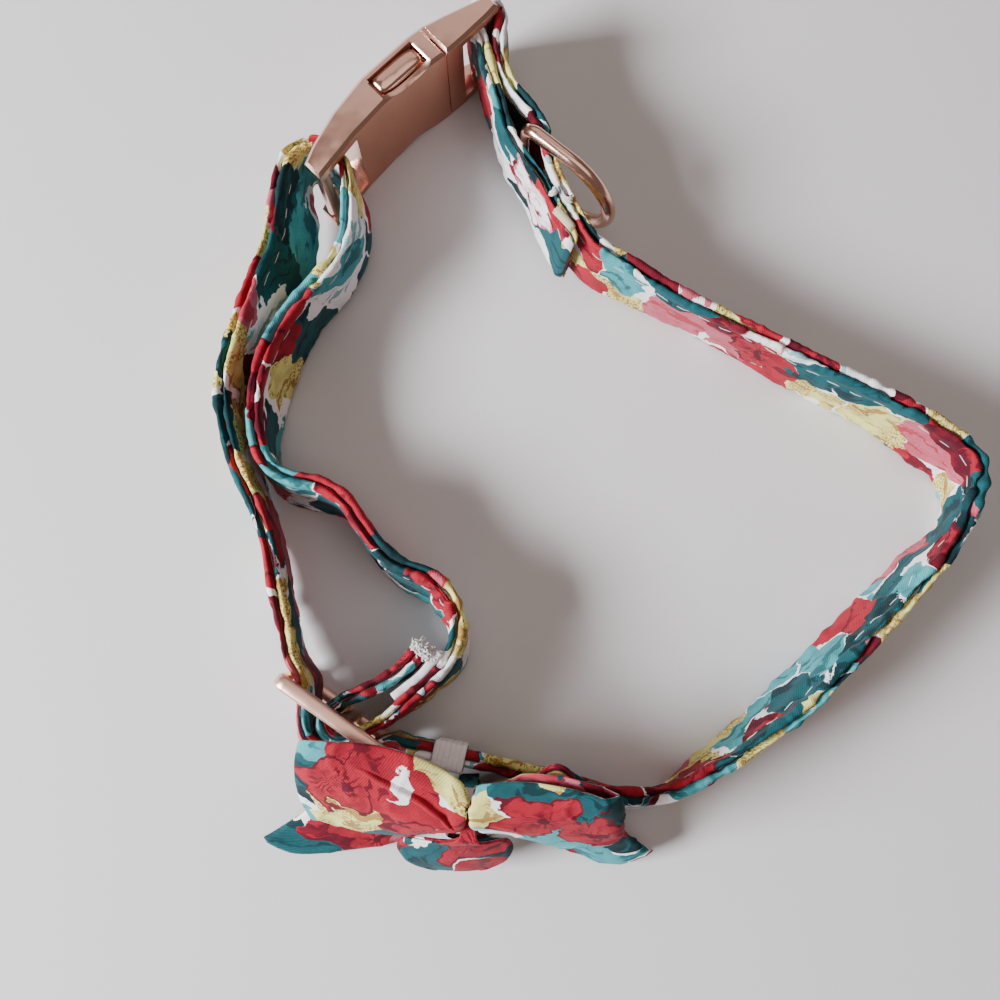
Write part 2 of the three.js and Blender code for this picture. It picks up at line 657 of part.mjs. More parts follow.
// ---------------------------------------------------------------- cotton sheets and bands
// A grid of points given a thickness: rows run along the piece, columns across it.
function sheet(grid, thick, closed = false) {
  const rows = grid.length;
  const columns = grid[0].length;
  const vector = (i, k) => new THREE.Vector3(...grid[i][k]);
  const front = [];
  const back = [];
  for (let i = 0; i < rows; i += 1) {
    for (let k = 0; k < columns; k += 1) {
      const a = closed ? (i - 1 + rows) % rows : Math.max(i - 1, 0);
      const b = closed ? (i + 1) % rows : Math.min(i + 1, rows - 1);
      const along = vector(b, k).sub(vector(a, k)).normalize();
      const across = vector(i, Math.min(k + 1, columns - 1)).sub(vector(i, Math.max(k - 1, 0)));
      const normal = along.cross(across.normalize()).normalize();
      front.push(vector(i, k).addScaledVector(normal, thick / 2).toArray());
      back.push(vector(i, k).addScaledVector(normal, -thick / 2).toArray());
    }
  }
  const triangles = [];
  const quad = (a, b, c, d) => triangles.push([a, b, c], [a, c, d]);
  const shift = rows * columns;
  const at = (i, k) => (i % rows) * columns + k;
  for (let i = 0; i < (closed ? rows : rows - 1); i += 1) {
    for (let k = 0; k + 1 < columns; k += 1) {
      quad(at(i, k), at(i + 1, k), at(i + 1, k + 1), at(i, k + 1));
      quad(shift + at(i, k), shift + at(i, k + 1), shift + at(i + 1, k + 1), shift + at(i + 1, k));
    }
    quad(at(i, 0), shift + at(i, 0), shift + at(i + 1, 0), at(i + 1, 0));
    const k = columns - 1;
    quad(at(i, k), at(i + 1, k), shift + at(i + 1, k), shift + at(i, k));
  }
  if (!closed) {
    for (let k = 0; k + 1 < columns; k += 1) {
      const i = rows - 1;
      quad(at(0, k), at(0, k + 1), shift + at(0, k + 1), shift + at(0, k));
      quad(at(i, k), shift + at(i, k), shift + at(i, k + 1), at(i, k + 1));
    }
  }
  return solid([...front, ...back], triangles);
}

function bow(table) {
  const grid = smooth(table, 6).map((row) => {
    const [top, middle, low] = [row.slice(0, 3), row.slice(3, 6), row.slice(6, 9)];
    return [0, 1, 2, 3, 4, 5, 6].map((k) => {
      const t = k / 6;
      return top.map((n, c) => n * (1 - t) * (1 - 2 * t) + 4 * middle[c] * t * (1 - t)
        + low[c] * t * (2 * t - 1));
    });
  });
  return sheet(grid, COTTON);
}

function wrap() {
  const grid = smooth(WRAP, 4.2, true).map(([y, z, half, x]) => (
    [-1, -0.6, 0, 0.6, 1].map((k) => {
      const sag = 1.3 * k * k * Math.max(0, (half - 5) / 8.6);
      return [x + k * half, y + sag, z - 2 * sag];
    })));
  return sheet(grid, WRAP_THICK, true);
}

function elastic() {
  const { x, y, width, thick, lean, foot } = ELASTIC;
  const tilt = THREE.MathUtils.degToRad(lean);
  const side = 2.3 + GAP + thick / 2;
  const up = STRAP_WIDTH / 2 + 0.5 + thick / 2;
  const slope = 0.22;
  const path = new THREE.Shape();
  rounded(path, -side, -up, 2 * side, 2 * up, 1.2);
  const around = path.getSpacedPoints(32).slice(0, -1);
  const grid = around.map((p) => [-1, 0, 1].map((k) => {
    const over = p.x * Math.cos(tilt) + p.y * Math.sin(tilt);
    const rise = p.y * Math.cos(tilt) - p.x * Math.sin(tilt);
    const along = (k * width) / 2;
    const length = Math.hypot(1, slope);
    return [
      x + (along + slope * over) / length,
      y + (over - slope * along) / length,
      foot + STRAP_WIDTH / 2 + rise,
    ];
  }));
  return sheet(grid, thick, true);
}

// ---------------------------------------------------------------- assembly
const LOOKS = {
  cotton: { color: 0x5d9a9c, roughness: 0.85, metalness: 0 },
  cotton_dark: { color: 0xb2505c, roughness: 0.85, metalness: 0 },
  metal: { color: 0xd9a08c, roughness: 0.15, metalness: 1 },
  elastic: { color: 0xb9afb2, roughness: 0.9, metalness: 0 },
};

const PIECES = [
  ['strap', strap(), LOOKS.cotton],
  ['buckle_female', buckleFemale(), LOOKS.metal],
  ['buckle_male', buckleMale(), LOOKS.metal],
  ['d_ring', dRing(), LOOKS.metal],
  ['slider', slider(), LOOKS.metal],
  ['bow_front', bow(FRONT_BOW), LOOKS.cotton_dark],
  ['bow_back', bow(BACK_BOW), LOOKS.cotton],
  ['bow_knot', wrap(), LOOKS.cotton_dark],
  ['elastic_loop', elastic(), LOOKS.elastic],
];

const group = new THREE.Group();
for (const [name, geometry, look] of PIECES) {
  const mesh = new THREE.Mesh(geometry, new THREE.MeshStandardMaterial(look));
  mesh.name = name;
  group.add(mesh);
}

export default group;
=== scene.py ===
"""Looks of the fabric dog collar with a bow tie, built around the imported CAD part.

Lengths are millimetres in the row frame, unless a comment says metres; MM turns them.
"""
import math
import bmesh
import bpy
import numpy as np
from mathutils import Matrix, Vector


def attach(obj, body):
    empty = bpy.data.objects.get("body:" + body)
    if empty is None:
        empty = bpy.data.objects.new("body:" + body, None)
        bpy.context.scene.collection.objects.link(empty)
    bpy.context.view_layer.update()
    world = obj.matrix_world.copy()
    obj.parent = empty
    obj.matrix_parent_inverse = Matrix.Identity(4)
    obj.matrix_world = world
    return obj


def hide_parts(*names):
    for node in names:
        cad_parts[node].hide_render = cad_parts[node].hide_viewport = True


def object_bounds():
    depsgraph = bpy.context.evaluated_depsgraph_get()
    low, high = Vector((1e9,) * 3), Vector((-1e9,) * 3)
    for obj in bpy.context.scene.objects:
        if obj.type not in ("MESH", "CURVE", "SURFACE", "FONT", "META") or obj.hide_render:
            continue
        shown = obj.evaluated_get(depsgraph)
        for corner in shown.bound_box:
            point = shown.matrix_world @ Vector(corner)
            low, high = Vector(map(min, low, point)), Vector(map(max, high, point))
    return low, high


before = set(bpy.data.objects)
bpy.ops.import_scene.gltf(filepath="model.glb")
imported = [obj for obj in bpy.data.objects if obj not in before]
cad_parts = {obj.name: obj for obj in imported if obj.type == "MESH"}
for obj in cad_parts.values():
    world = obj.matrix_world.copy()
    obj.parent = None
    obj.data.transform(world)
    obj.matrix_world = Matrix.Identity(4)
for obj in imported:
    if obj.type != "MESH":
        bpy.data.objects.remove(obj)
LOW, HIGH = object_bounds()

MM = 0.001

# ---- sizes and tables of the part
WIDTH = 25.0  # the strap's
LIFT = 4.2  # how high the strap's foot is in the hardware
HEIGHT = 33.4  # the hardware's
# Where a piece of hardware is, and the direction that it runs in, seen from above.
SLIDER_AT = (-78.5, -63.5, 0.823, -0.568)
BUCKLE_AT = (-72.3, 62.6, 0.715, 0.699)
RING_AT = (-17.8, 75.0, 0.78, -0.626)
MALE_BAR = (-28.4, 107.4)

# Strap rows: centre x and y, lean of the top edge to the left of travel in degrees, height of
# the foot, thickness. DOUBLED has x, y, lean and half the spacing of its two strands.
INNER_TIP = [-7.0, 45.0, -5.5, 4.2, 3.4]
DOUBLED = [
    [-27.4, 101.6, 0, 2.3],
    [-26.9, 97, 0, 1.95],
    [-25.4, 91.5, 0, 1.95],
    [-23.5, 86.8, 0, 2.3],
    [-20.9, 81.3, 0, 3.6],
    [-17.8, 75, 0, 4.15],
    [-15.2, 69, 1, 3.1],
    [-13.3, 63.6, 3.5, 2.05],
    [-11, 58.3, 5, 1.95],
    [-8.3, 52.8, 5.5, 1.95],
    [-5.7, 48.2, 5.5, 1.95],
]
MAIN_UPPER = [
    [-0.4, 45.2, 5, 3.4, 4.2],
    [5.7, 42.1, 3, 2.4, 4.2],
    [11.7, 39, 0, 1.4, 4.2],
    [22.3, 33.6, -4, 0.3, 4.2],
    [32.9, 28.3, -3.5, 0, 4.2],
    [43.3, 22.6, -1, 0, 4.2],
    [53.5, 16.7, 1.8, 0, 4.2],
    [64.2, 11.2, 1.8, 0, 4.2],
    [74.9, 5.6, 2.4, 0, 4.2],
    [84.5, -0.8, 6, 0, 4.2],
    [91, -6, 8, 0, 4.2],
]
CORNER = [
    [94.2, -9.2, 6, 0, 4.2],
    [95.6, -13.2, 1, 0, 4.4],
    [95.3, -18.2, -5, 0, 4.3],
    [93.6, -23.6, -5, 0, 4.2],
]
MAIN_LOWER = [
    [90.2, -28.3, -1, 0, 4.2],
    [85.9, -32.8, 4.5, 0, 4.2],
    [76.8, -42.2, 7.5, 0, 4.2],
    [67.3, -51.7, 8.5, 0, 4.2],
    [57.5, -61.5, 9.8, 0, 4.2],
    [48.1, -70.4, 10, 0, 4.2],
    [38.4, -78.2, 6.2, 0, 4.2],
    [26.8, -86.4, 0, 0, 4.2],
    [15.9, -92.8, -8, 0.2, 4.2],
]
BEHIND_BOW = [
    [4.6, -93.9, -10, 0.6, 4.2],
    [-5.4, -90.8, -7.5, 1, 4.2],
    [-13.4, -88.6, -6, 1.3, 4.2],
    [-21, -86.8, -5, 1.5, 4],
    [-29.6, -84.6, -4, 1.7, 4],
    [-37, -83, -3, 1.9, 4],
    [-43.4, -81.4, -2, 2.3, 4],
]
# Strap rows at the slider: distance along it and across it, and thickness.
THROUGH_SLIDER = [
    [35.2, 4, 3.2],
    [31.7, 3.1, 3],
    [29, 0, 3],
    [26.6, -3.2, 3],
    [23.6, -6.6, 3.2],
    [18.6, -8.2, 3.2],
    [13.4, -7.6, 3.2],
    [10, -4.4, 3],
    [7.6, -0.8, 3],
    [5.2, 2.4, 3],
]
OUTER_STRAND = [
    [-76.4, -58.5, -2, 3.9, 3.4],
    [-78.3, -51.6, -4, 3.4, 4.2],
    [-80.6, -43.5, -4, 2.4, 4.2],
    [-83.4, -30.6, -4, 1.6, 4.2],
    [-86.8, -20.5, -2, 1.2, 4.2],
    [-91.5, -9.2, 1, 1, 4.2],
    [-94.6, 3.5, 2, 1, 4.2],
    [-94.8, 11.5, 3, 1.4, 4.2],
    [-90.6, 24.3, 8, 2.2, 4.2],
    [-85.8, 36.1, 12, 3, 4.2],
    [-81.2, 46.4, 17, 3.8, 4.2],
    [-79.9, 56.8, 15, 4.2, 4],
    [-79.3, 66.6, 8, 4.2, 3.8],
]
FEMALE_LOOP = [
    [-77.2, 71.9, 0, 4.2, 3.4],
    [-72.8, 73.2, 0, 4.2, 3.2],
    [-68.4, 71.4, 0, 4.2, 3.2],
    [-65.4, 68, 0, 4.2, 3.2],
    [-63.8, 63.4, -3, 4.2, 3.6],
]
INNER_STRAND = [
    [-63.3, 56.5, -4, 3.8, 4.2],
    [-64.2, 48.5, -2, 3.2, 4.2],
    [-67.8, 41, -1, 2.8, 4.2],
    [-73.2, 34.4, -2, 2.4, 4.2],
    [-78.3, 27.8, -5, 2, 4.2],
    [-82.1, 20.8, -7, 1.6, 4.2],
    [-84.9, 12.6, -7, 1.2, 4.2],
    [-86.4, 4, -4, 1, 4.2],
    [-86.2, -5, 1, 1, 4.2],
]
S_BEND = [
    [-83.8, -11.6, 5, 1, 4.2],
    [-78.4, -15.2, 7, 1, 4.2],
    [-71, -16.9, 7, 1, 4.2],
    [-64.6, -20.2, 4, 1, 4.2],
    [-60.2, -25.6, 2, 1, 4.2],
    [-56.1, -31.6, 3.5, 1, 4.2],
    [-50.3, -37.2, 7, 1, 4.2],
    [-43.9, -40.2, 9, 1, 4.4],
    [-39.2, -43.9, 8, 1.2, 4.6],
    [-36.2, -49.4, 3, 1.6, 4.6],
    [-35.5, -55.2, -2, 2.2, 4.4],
    [-37.9, -61.2, -5, 2.8, 4.2],
    [-43, -66.2, -4, 3.4, 4],
    [-47.6, -70, -3, 3.8, 3.8],
]
# The same columns as THROUGH_SLIDER.
ROUND_CENTRE_BAR = [
    [27.2, 6.6, 3.4],
    [25.2, 2.8, 3],
    [23.4, -0.8, 3],
    [21.2, -3.6, 3],
    [18.5, -4.5, 3],
    [15.8, -3.6, 3],
    [14.2, -0.9, 3],
    [15, 2.6, 3],
]
# The sewn end, and the raw white ply beside it.
SEWN_END = [
    [-61.6, -68.4, 0, 4.2, 3.4],
    [-57, -66.3, 0, 4.2, 3.8],
    [-52.6, -64.2, 0, 4, 4.2],
    [-48.4, -61, 0, 3.8, 4.2],
    [-44.6, -57, 0, 3.6, 4.2],
]
THIRD_PLY = [
    [-50.9, -68.2, 0, 4, 2],
    [-47.8, -65.9, 0, 4, 2.1],
    [-44.6, -63.2, 0, 3.8, 2.1],
    [-41.7, -60.3, 0, 3.6, 2.1],
    [-39.6, -57.6, 0, 3.6, 1.9],
]
# Bow rows, round each bow from its middle: x, y, z of the cloth's upper edge, middle, lower edge.
FRONT_BOW = [
    [-33.2, -95, 25, -33.2, -98.2, 16, -33.2, -97.5, 8],
    [-35.8, -95, 25.2, -35.8, -98, 16, -35.8, -97.5, 8],
    [-37.6, -90.5, 32, -38.4, -95.6, 21, -38.6, -98, 10],
    [-46, -84.8, 36.5, -47, -92.4, 25, -47, -98.5, 12.5],
    [-58, -79.4, 40, -60, -88.2, 27.5, -60, -97, 14],
    [-67.4, -77.9, 41.6, -70.4, -87, 29, -67.8, -97.2, 16.4],
    [-70.2, -77.2, 44.4, -73.2, -88.6, 30, -70.8, -98.4, 15.6],
    [-67.4, -77.2, 46.2, -70.4, -90.2, 31, -68, -99, 14.4],
    [-58, -77.6, 46.2, -59, -93, 32.5, -59.6, -102, 13],
    [-46, -80.2, 43.8, -46.4, -95.8, 33.4, -48.4, -101.6, 16.2],
    [-38.4, -83.6, 41.4, -38.8, -96.6, 34, -43.4, -100.4, 20],
    [-33.2, -87.7, 39.4, -33.6, -97, 33.8, -40.2, -99.8, 20.4],
    [-36.8, -93, 33.4, -37.2, -98, 27, -38.6, -99.6, 15.6],
    [-36.9, -96.4, 27.8, -37.3, -101.6, 19, -37.4, -101.6, 8],
    [-35.4, -99.2, 25, -35.4, -102.4, 17, -35.4, -101.8, 7.4],
    [-32.8, -99.2, 25, -32.8, -102.4, 17, -32.8, -101.8, 7.4],
    [-30.2, -99.2, 25, -30.2, -102.4, 17, -30.2, -101.8, 7.4],
    [-28.7, -96.4, 27.8, -28.3, -101.6, 19, -27.9, -101.6, 8],
    [-28.8, -93, 33.4, -28.4, -98, 27, -27.2, -99.6, 15.6],
    [-31.1, -88.2, 39.2, -31.4, -97.2, 33.6, -25.4, -99.8, 20.4],
    [-27.2, -87.2, 40.4, -26.6, -97.2, 33.4, -22.4, -100.6, 20],
    [-19, -86.8, 41.3, -18.4, -98, 32.6, -16.8, -103, 17.6],
    [-8, -88.4, 41.2, -7.6, -98.6, 32, -8, -105.4, 16],
    [0, -90.6, 40.2, 1.2, -99.2, 31, 0.4, -104.4, 18],
    [2.6, -89.8, 39.2, 4, -98, 29.5, 3.4, -103.2, 18.4],
    [0, -88.6, 38.6, 1.2, -97, 28.6, 0.4, -102.8, 17.8],
    [-8, -86.2, 40, -7.6, -96.6, 28.9, -8, -103.4, 15.6],
    [-18.6, -85, 39.4, -18.4, -95.6, 27.2, -18, -101.6, 13.6],
    [-28.4, -90.6, 32.4, -27.6, -96.2, 21, -27.2, -98.6, 10.4],
    [-29.8, -95, 25.2, -29.8, -98, 16, -29.8, -97.5, 8],
    [-31.6, -95, 25, -31.6, -98.2, 16, -31.6, -97.5, 8],
]
BACK_BOW = [
    [-33.2, -91.2, 22.6, -33.2, -91, 14.5, -33.2, -91.2, 4.4],
    [-36.2, -91, 22.8, -36.2, -91, 14.5, -36.2, -91.4, 4.2],
    [-45, -88.6, 25.4, -46, -91.4, 17.5, -47, -96.5, 3.4],
    [-57, -85.6, 27.4, -60, -89.8, 17, -62, -101, 2.8],
    [-63.6, -84.6, 27.4, -67, -91, 16, -77, -103, 2.4],
    [-65.8, -85.4, 28, -69.4, -93.6, 14.6, -85.8, -104.6, 5],
    [-63.6, -86.4, 27.4, -67, -95, 14, -79.4, -108.8, 3.4],
    [-57, -87.6, 26.8, -60, -93.6, 14.6, -65, -108.2, 3.4],
    [-45, -90.6, 25, -46, -94.4, 15.6, -49, -105, 3.4],
    [-36.2, -93.4, 22.8, -36.2, -93.6, 14.5, -36.2, -94.2, 4.2],
    [-32.8, -93.4, 22.6, -32.8, -93.6, 14.5, -32.8, -94.2, 4.2],
    [-29.4, -93.4, 22.8, -29.4, -93.6, 14.5, -29.4, -94.2, 4.2],
    [-22, -92.4, 26.6, -21.4, -95.4, 17.5, -20, -103.4, 3.4],
    [-12.4, -84.7, 38.3, -11.2, -94.2, 26, -7, -108.2, 3.2],
    [-5, -89.2, 32.2, 0.2, -101.4, 17, 6, -111.6, 3.6],
    [-2.6, -88.1, 31.4, 5.4, -101.2, 16, 14, -107.6, 7.4],
    [-5, -87.5, 31.2, 0, -97.1, 21.8, 5.4, -105.6, 3.6],
    [-12.4, -82.9, 38.1, -11.2, -92.2, 26, -8.4, -100.6, 3],
    [-22, -90.2, 26.4, -21.6, -92.6, 17.4, -21, -96.4, 3.2],
    [-29.4, -91, 22.8, -29.4, -91, 14.5, -29.4, -91.4, 4.2],
    [-31.6, -91.2, 22.6, -31.6, -91, 14.5, -31.6, -91.2, 4.4],
]
# Knot rows, round its section: y, z, half its width, and x of its middle.
WRAP = [
    [-89, 8, 2.4, -32.8],
    [-88.6, 15, 2.4, -32.8],
    [-88.9, 21.5, 2.4, -32.8],
    [-90.6, 25.7, 2.3, -32.8],
    [-95, 26.8, 2.2, -32.8],
    [-101.4, 26.5, 2.1, -32.7],
    [-102.5, 25.4, 4.6, -33.8],
    [-103.2, 23.6, 12.4, -35.9],
    [-105.7, 20.2, 14.2, -36.1],
    [-109.2, 14.6, 12.8, -35.9],
    [-111, 10.4, 9.4, -35.7],
    [-111.8, 6.4, 5.6, -35.4],
    [-108.8, 2.8, 3.8, -34.6],
    [-98.6, 2, 3, -33.2],
    [-92.4, 2.1, 2.6, -32.8],
    [-89.8, 3.8, 2.4, -32.8],
]
ELASTIC = {"x": -37.5, "y": -83.0, "width": 7.6, "thick": 0.9, "lean": 3.0, "foot": 2.0,
           "corner": 1.2, "slope": 0.22}


# ---- small tools
NOISE_GRID = (509, 61)


def smooth(rows, longest, closed=False):
    """A smooth line through a table's rows, every column carried along, in steps up to longest."""
    rows = np.array(rows, float)
    count = len(rows)

    def at(i):
        return rows[i % count] if closed else rows[min(max(i, 0), count - 1)]

    def apart(a, b):
        return max(math.sqrt(np.linalg.norm(a - b)), 1e-3)

    out = []
    for i in range(count if closed else count - 1):
        p, q, r, s = at(i - 1), at(i), at(i + 1), at(i + 2)
        pq, qr, rs = apart(p, q), apart(q, r), apart(r, s)
        steps = max(1, math.ceil(math.hypot(r[0] - q[0], r[1] - q[1]) / longest))
        first = last = r - q
        if closed or i > 0:
            first = ((q - p) / pq - (r - p) / (pq + qr) + (r - q) / qr) * qr
        if closed or i + 2 < count:
            last = ((r - q) / qr - (s - q) / (qr + rs) + (s - r) / rs) * qr
        t = (np.arange(steps) / steps)[:, None]
        t2, t3 = t * t, t * t * t
        out.append((2 * t3 - 3 * t2 + 1) * q + (t3 - 2 * t2 + t) * first
                   + (3 * t2 - 2 * t3) * r + (t3 - t2) * last)
    if not closed:
        out.append(rows[-1:])
    return np.vstack(out)


def noise(x, y, seed):
    """Smooth value noise between -1 and 1 with a unit lattice."""
    grid = np.random.default_rng(seed).uniform(-1, 1, NOISE_GRID)
    x, y = np.broadcast_arrays(np.asarray(x, float), np.asarray(y, float))
    ix, iy = np.floor(x).astype(int), np.floor(y).astype(int)
    fx, fy = x - ix, y - iy
    fx, fy = fx * fx * (3 - 2 * fx), fy * fy * (3 - 2 * fy)

    def g(i, j):
        return grid[(ix + i) % NOISE_GRID[0], (iy + j) % NOISE_GRID[1]]

    low = g(0, 0) * (1 - fx) + g(1, 0) * fx
    high = g(0, 1) * (1 - fx) + g(1, 1) * fx
    return low * (1 - fy) + high * fy


def bump(x, middle, width):
    """A bell of height 1."""
    return np.exp(-(((x - middle) / width) ** 2))


def along_line(points):
    """Distance along a run of points."""
    step = np.linalg.norm(np.diff(points, axis=0), axis=1)
    return np.concatenate([[0], np.cumsum(step)])


def arc(cx, cy, r, start, end, count):
    return [(cx + r * math.cos(a), cy + r * math.sin(a))
            for a in np.radians(np.linspace(start, end, count))]


def leftward(line):
    """Unit vectors to the left of travel, seen from above."""
    ahead = np.gradient(line[:, :2], axis=0)
    ahead /= np.linalg.norm(ahead, axis=1, keepdims=True)
    return np.stack([-ahead[:, 1], ahead[:, 0]], 1)


def grid_normals(grid, closed_rows=False, closed_columns=False):
    """Unit normals at the points of a grid."""
    def slope(axis, closed):
        if closed:
            return np.roll(grid, -1, axis) - np.roll(grid, 1, axis)
        return np.gradient(grid, axis=axis)

    n = np.cross(slope(0, closed_rows), slope(1, closed_columns))
    return n / np.maximum(np.linalg.norm(n, axis=2, keepdims=True), 1e-9)


def pairs(u, v):
    """Two coordinates of every point of a grid, as one row of two for each."""
    return np.stack(np.broadcast_arrays(u, v), 2).reshape(-1, 2)


def quads(rows, columns, closed_rows=False, closed_columns=False):
    """The faces of a grid of points."""
    i, k = np.meshgrid(np.arange(rows if closed_rows else rows - 1),
                       np.arange(columns if closed_columns else columns - 1), indexing="ij")
    i, k = i.ravel(), k.ravel()
    i2, k2 = (i + 1) % rows, (k + 1) % columns
    return np.stack([i * columns + k, i2 * columns + k, i2 * columns + k2, i * columns + k2], 1)


def capped(rows, columns):
    """The faces of a closed section swept along the rows, with a cap at each end."""
    faces = quads(rows, columns, closed_columns=True).tolist()
    faces.append(list(range(columns)))
    faces.append(list(range((rows - 1) * columns, rows * columns))[::-1])
    return faces


def outward(points, faces):
    """The faces, all turned round where they hold their volume inside out."""
    fans = np.array([(f[0], f[k], f[k + 1]) for f in faces for k in range(1, len(f) - 1)])
    a, b, c = (points[fans[:, k]] for k in range(3))
    inside_out = np.sum(a * np.cross(b, c)) < 0
    return [f[::-1] for f in faces] if inside_out else faces


def tube(line, radius, sides, closed=False, taper=0.0):
    """Points and faces of a round tube along a line; taper narrows its two ends."""
    line = np.asarray(line, float)
    n = len(line)
    ahead = np.roll(line, -1, 0) - np.roll(line, 1, 0) if closed else np.gradient(line, axis=0)
    ahead /= np.linalg.norm(ahead, axis=1, keepdims=True)
    side = np.cross(ahead, [0.31, 0.17, 0.93])  # a direction that no line here runs along
    side /= np.linalg.norm(side, axis=1, keepdims=True)
    up = np.cross(side, ahead)
    size = radius * (1 - taper * np.abs(np.linspace(-1, 1, n)) ** 4)
    angle = np.linspace(0, 2 * np.pi, sides, endpoint=False)[None, :, None]
    ring = side[:, None] * np.cos(angle) + up[:, None] * np.sin(angle)
    points = (line[:, None] + ring * size[:, None, None]).reshape(-1, 3)
    faces = quads(n, sides, True, True).tolist() if closed else capped(n, sides)
    return points, outward(points, faces)


def link(name, data):
    """A new object in the scene."""
    made = bpy.data.objects.new(name, data)
    bpy.context.scene.collection.objects.link(made)
    return made


def make_piece(name, points, faces, material, uv=None, body="collar",
               node=None):
    """A mesh from points in millimetres; it rides on a body and may stand for a CAD node."""
    mesh = bpy.data.meshes.new(name)
    mesh.from_pydata((points * MM).tolist(), [], faces)
    if uv is not None:
        layer = mesh.uv_layers.new(name="cloth")
        index = np.zeros(len(mesh.loops), int)
        mesh.loops.foreach_get("vertex_index", index)
        layer.data.foreach_set("uv", np.asarray(uv, np.float32)[index].ravel())
    mesh.shade_smooth()
    mesh.materials.append(material)
    piece = link(name, mesh)
    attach(piece, body)
    if node:
        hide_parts(node)
    return piece


def thread_piece(name, tubes, material):
    """Many thread tubes as one piece."""
    points, faces, start = [], [], 0
    for p, f in tubes:
        points.append(p)
        faces += [[start + k for k in face] for face in f]
        start += len(p)
    return make_piece(name, np.vstack(points), faces, material)


# ---- materials
def linear(rgb):
    """An sRGB colour of 0 to 255 as Blender's linear one."""
    out = []
    for c in rgb:
        c /= 255
        out.append(c / 12.92 if c <= 0.04045 else ((c + 0.055) / 1.055) ** 2.4)
    return (*out, 1.0)


class Graph:
    """Short way to write a material's node graph."""

    def __init__(self, name):
        self.material = bpy.data.materials.new(name)
        self.material.use_nodes = True
        self.tree = self.material.node_tree
        self.bsdf = self.tree.nodes["Principled BSDF"]

    def put(self, socket, value):
        if isinstance(value, bpy.types.NodeSocket):
            self.tree.links.new(value, socket)
        else:
            socket.default_value = value

    def node(self, kind, props=None, **inputs):
        made = self.tree.nodes.new(kind)
        for key, value in (props or {}).items():
            setattr(made, key, value)
        for key, value in inputs.items():
            self.put(made.inputs[key.replace("_", " ")], value)
        return made

    def cloth(self):
        """The cloth's own coordinates in millimetres."""
        return self.node("ShaderNodeUVMap", {"uv_map": "cloth"}).outputs[0]

    def place(self):
        """Coordinates in the solid, in metres."""
        return self.node("ShaderNodeTexCoord").outputs["Object"]

    def split(self, vector):
        return self.node("ShaderNodeSeparateXYZ", Vector=vector).outputs

    def math(self, operation, a, b=0.0, c=0.0):
        made = self.node("ShaderNodeMath", {"operation": operation})
        for socket, value in zip(made.inputs, (a, b, c)):
            self.put(socket, value)
        return made.outputs[0]

    def times(self, a, b):
        return self.math("MULTIPLY", a, b)

    def vector(self, operation, a, b=(0, 0, 0)):
        made = self.node("ShaderNodeVectorMath", {"operation": operation})
        self.put(made.inputs[0], a)
        self.put(made.inputs["Scale" if operation == "SCALE" else 1], b)
        return made.outputs["Value" if operation == "LENGTH" else "Vector"]

    def mix(self, share, a, b, blend="MIX"):
        made = self.node("ShaderNodeMix", {"data_type": "RGBA", "blend_type": blend}, Factor=share)
        self.put(made.inputs[6], a)
        self.put(made.inputs[7], b)
        return made.outputs[2]

    def ramp(self, value, stops, kind="CONSTANT"):
        """Colours by value; a stop may give a grey as one number."""
        made = self.tree.nodes.new("ShaderNodeValToRGB")
        made.color_ramp.interpolation = kind
        elements = made.color_ramp.elements
        while len(elements) < len(stops):
            elements.new(0.5)
        for element, (at, color) in zip(elements, stops):
            element.position = at
            element.color = color if isinstance(color, tuple) else (color, color, color, 1)
        self.put(made.inputs[0], value)
        return made.outputs[0]

    def step(self, value, low, high):
        made = self.node("ShaderNodeMapRange", {"interpolation_type": "SMOOTHSTEP"},
                         Value=value, From_Min=low, From_Max=high)
        return made.outputs[0]

    def flat_noise(self, place, scale, detail, output=0):
        made = self.node("ShaderNodeTexNoise", {"noise_dimensions": "2D"},
                         Vector=place, Scale=scale, Detail=detail)
        return made.outputs[output]

    def solid_noise(self, place, scale, detail):
        return self.node("ShaderNodeTexNoise", Vector=place, Scale=scale, Detail=detail).outputs[0]

    def stray(self, place, scale, reach):
        """Random steps over the cloth, up to about half of reach each way."""
        step = self.flat_noise(place, scale, 2.0, "Color")
        return self.vector("SCALE", self.vector("SUBTRACT", step, (0.5, 0.5, 0.5)), reach)

    def surface(self, color, height, strength, distance, **values):
        """The material with its colour, its relief in metres and its other inputs' values."""
        relief = self.node("ShaderNodeBump", Height=height, Strength=strength, Distance=distance)
        self.put(self.bsdf.inputs["Normal"], relief.outputs[0])
        self.put(self.bsdf.inputs["Base Color"], color)
        for key, value in values.items():
            self.put(self.bsdf.inputs[key.replace("_", " ")], value)
        return self.material


TEAL, AQUA, GREEN = linear((26, 84, 92)), linear((76, 160, 168)), linear((16, 40, 46))
PINK, CORAL, MAROON = linear((192, 98, 116)), linear((166, 33, 50)), linear((84, 16, 34))
YELLOW, GOLD, WHITE = linear((226, 222, 140)), linear((150, 104, 44)), linear((244, 240, 243))

# Where each kind of patch starts in the draw, its ground, and the colour of the strokes on it.
PATCHES = [
    (0, TEAL, GREEN),
    (0.17, AQUA, TEAL),
    (0.29, YELLOW, GOLD),
    (0.46, WHITE, AQUA),
    (0.58, GREEN, TEAL),
    (0.68, PINK, CORAL),
    (0.74, CORAL, MAROON),
    (0.88, MAROON, CORAL),
]
# Where each kind of flower starts in the draw, its petals, and their veins.
FLOWERS = [(0, CORAL, MAROON), (0.55, PINK, CORAL), (0.68, CORAL, MAROON), (0.95, WHITE, PINK)]
PATCHES_PER_MM, FLOWERS_PER_MM = 0.066, 0.034
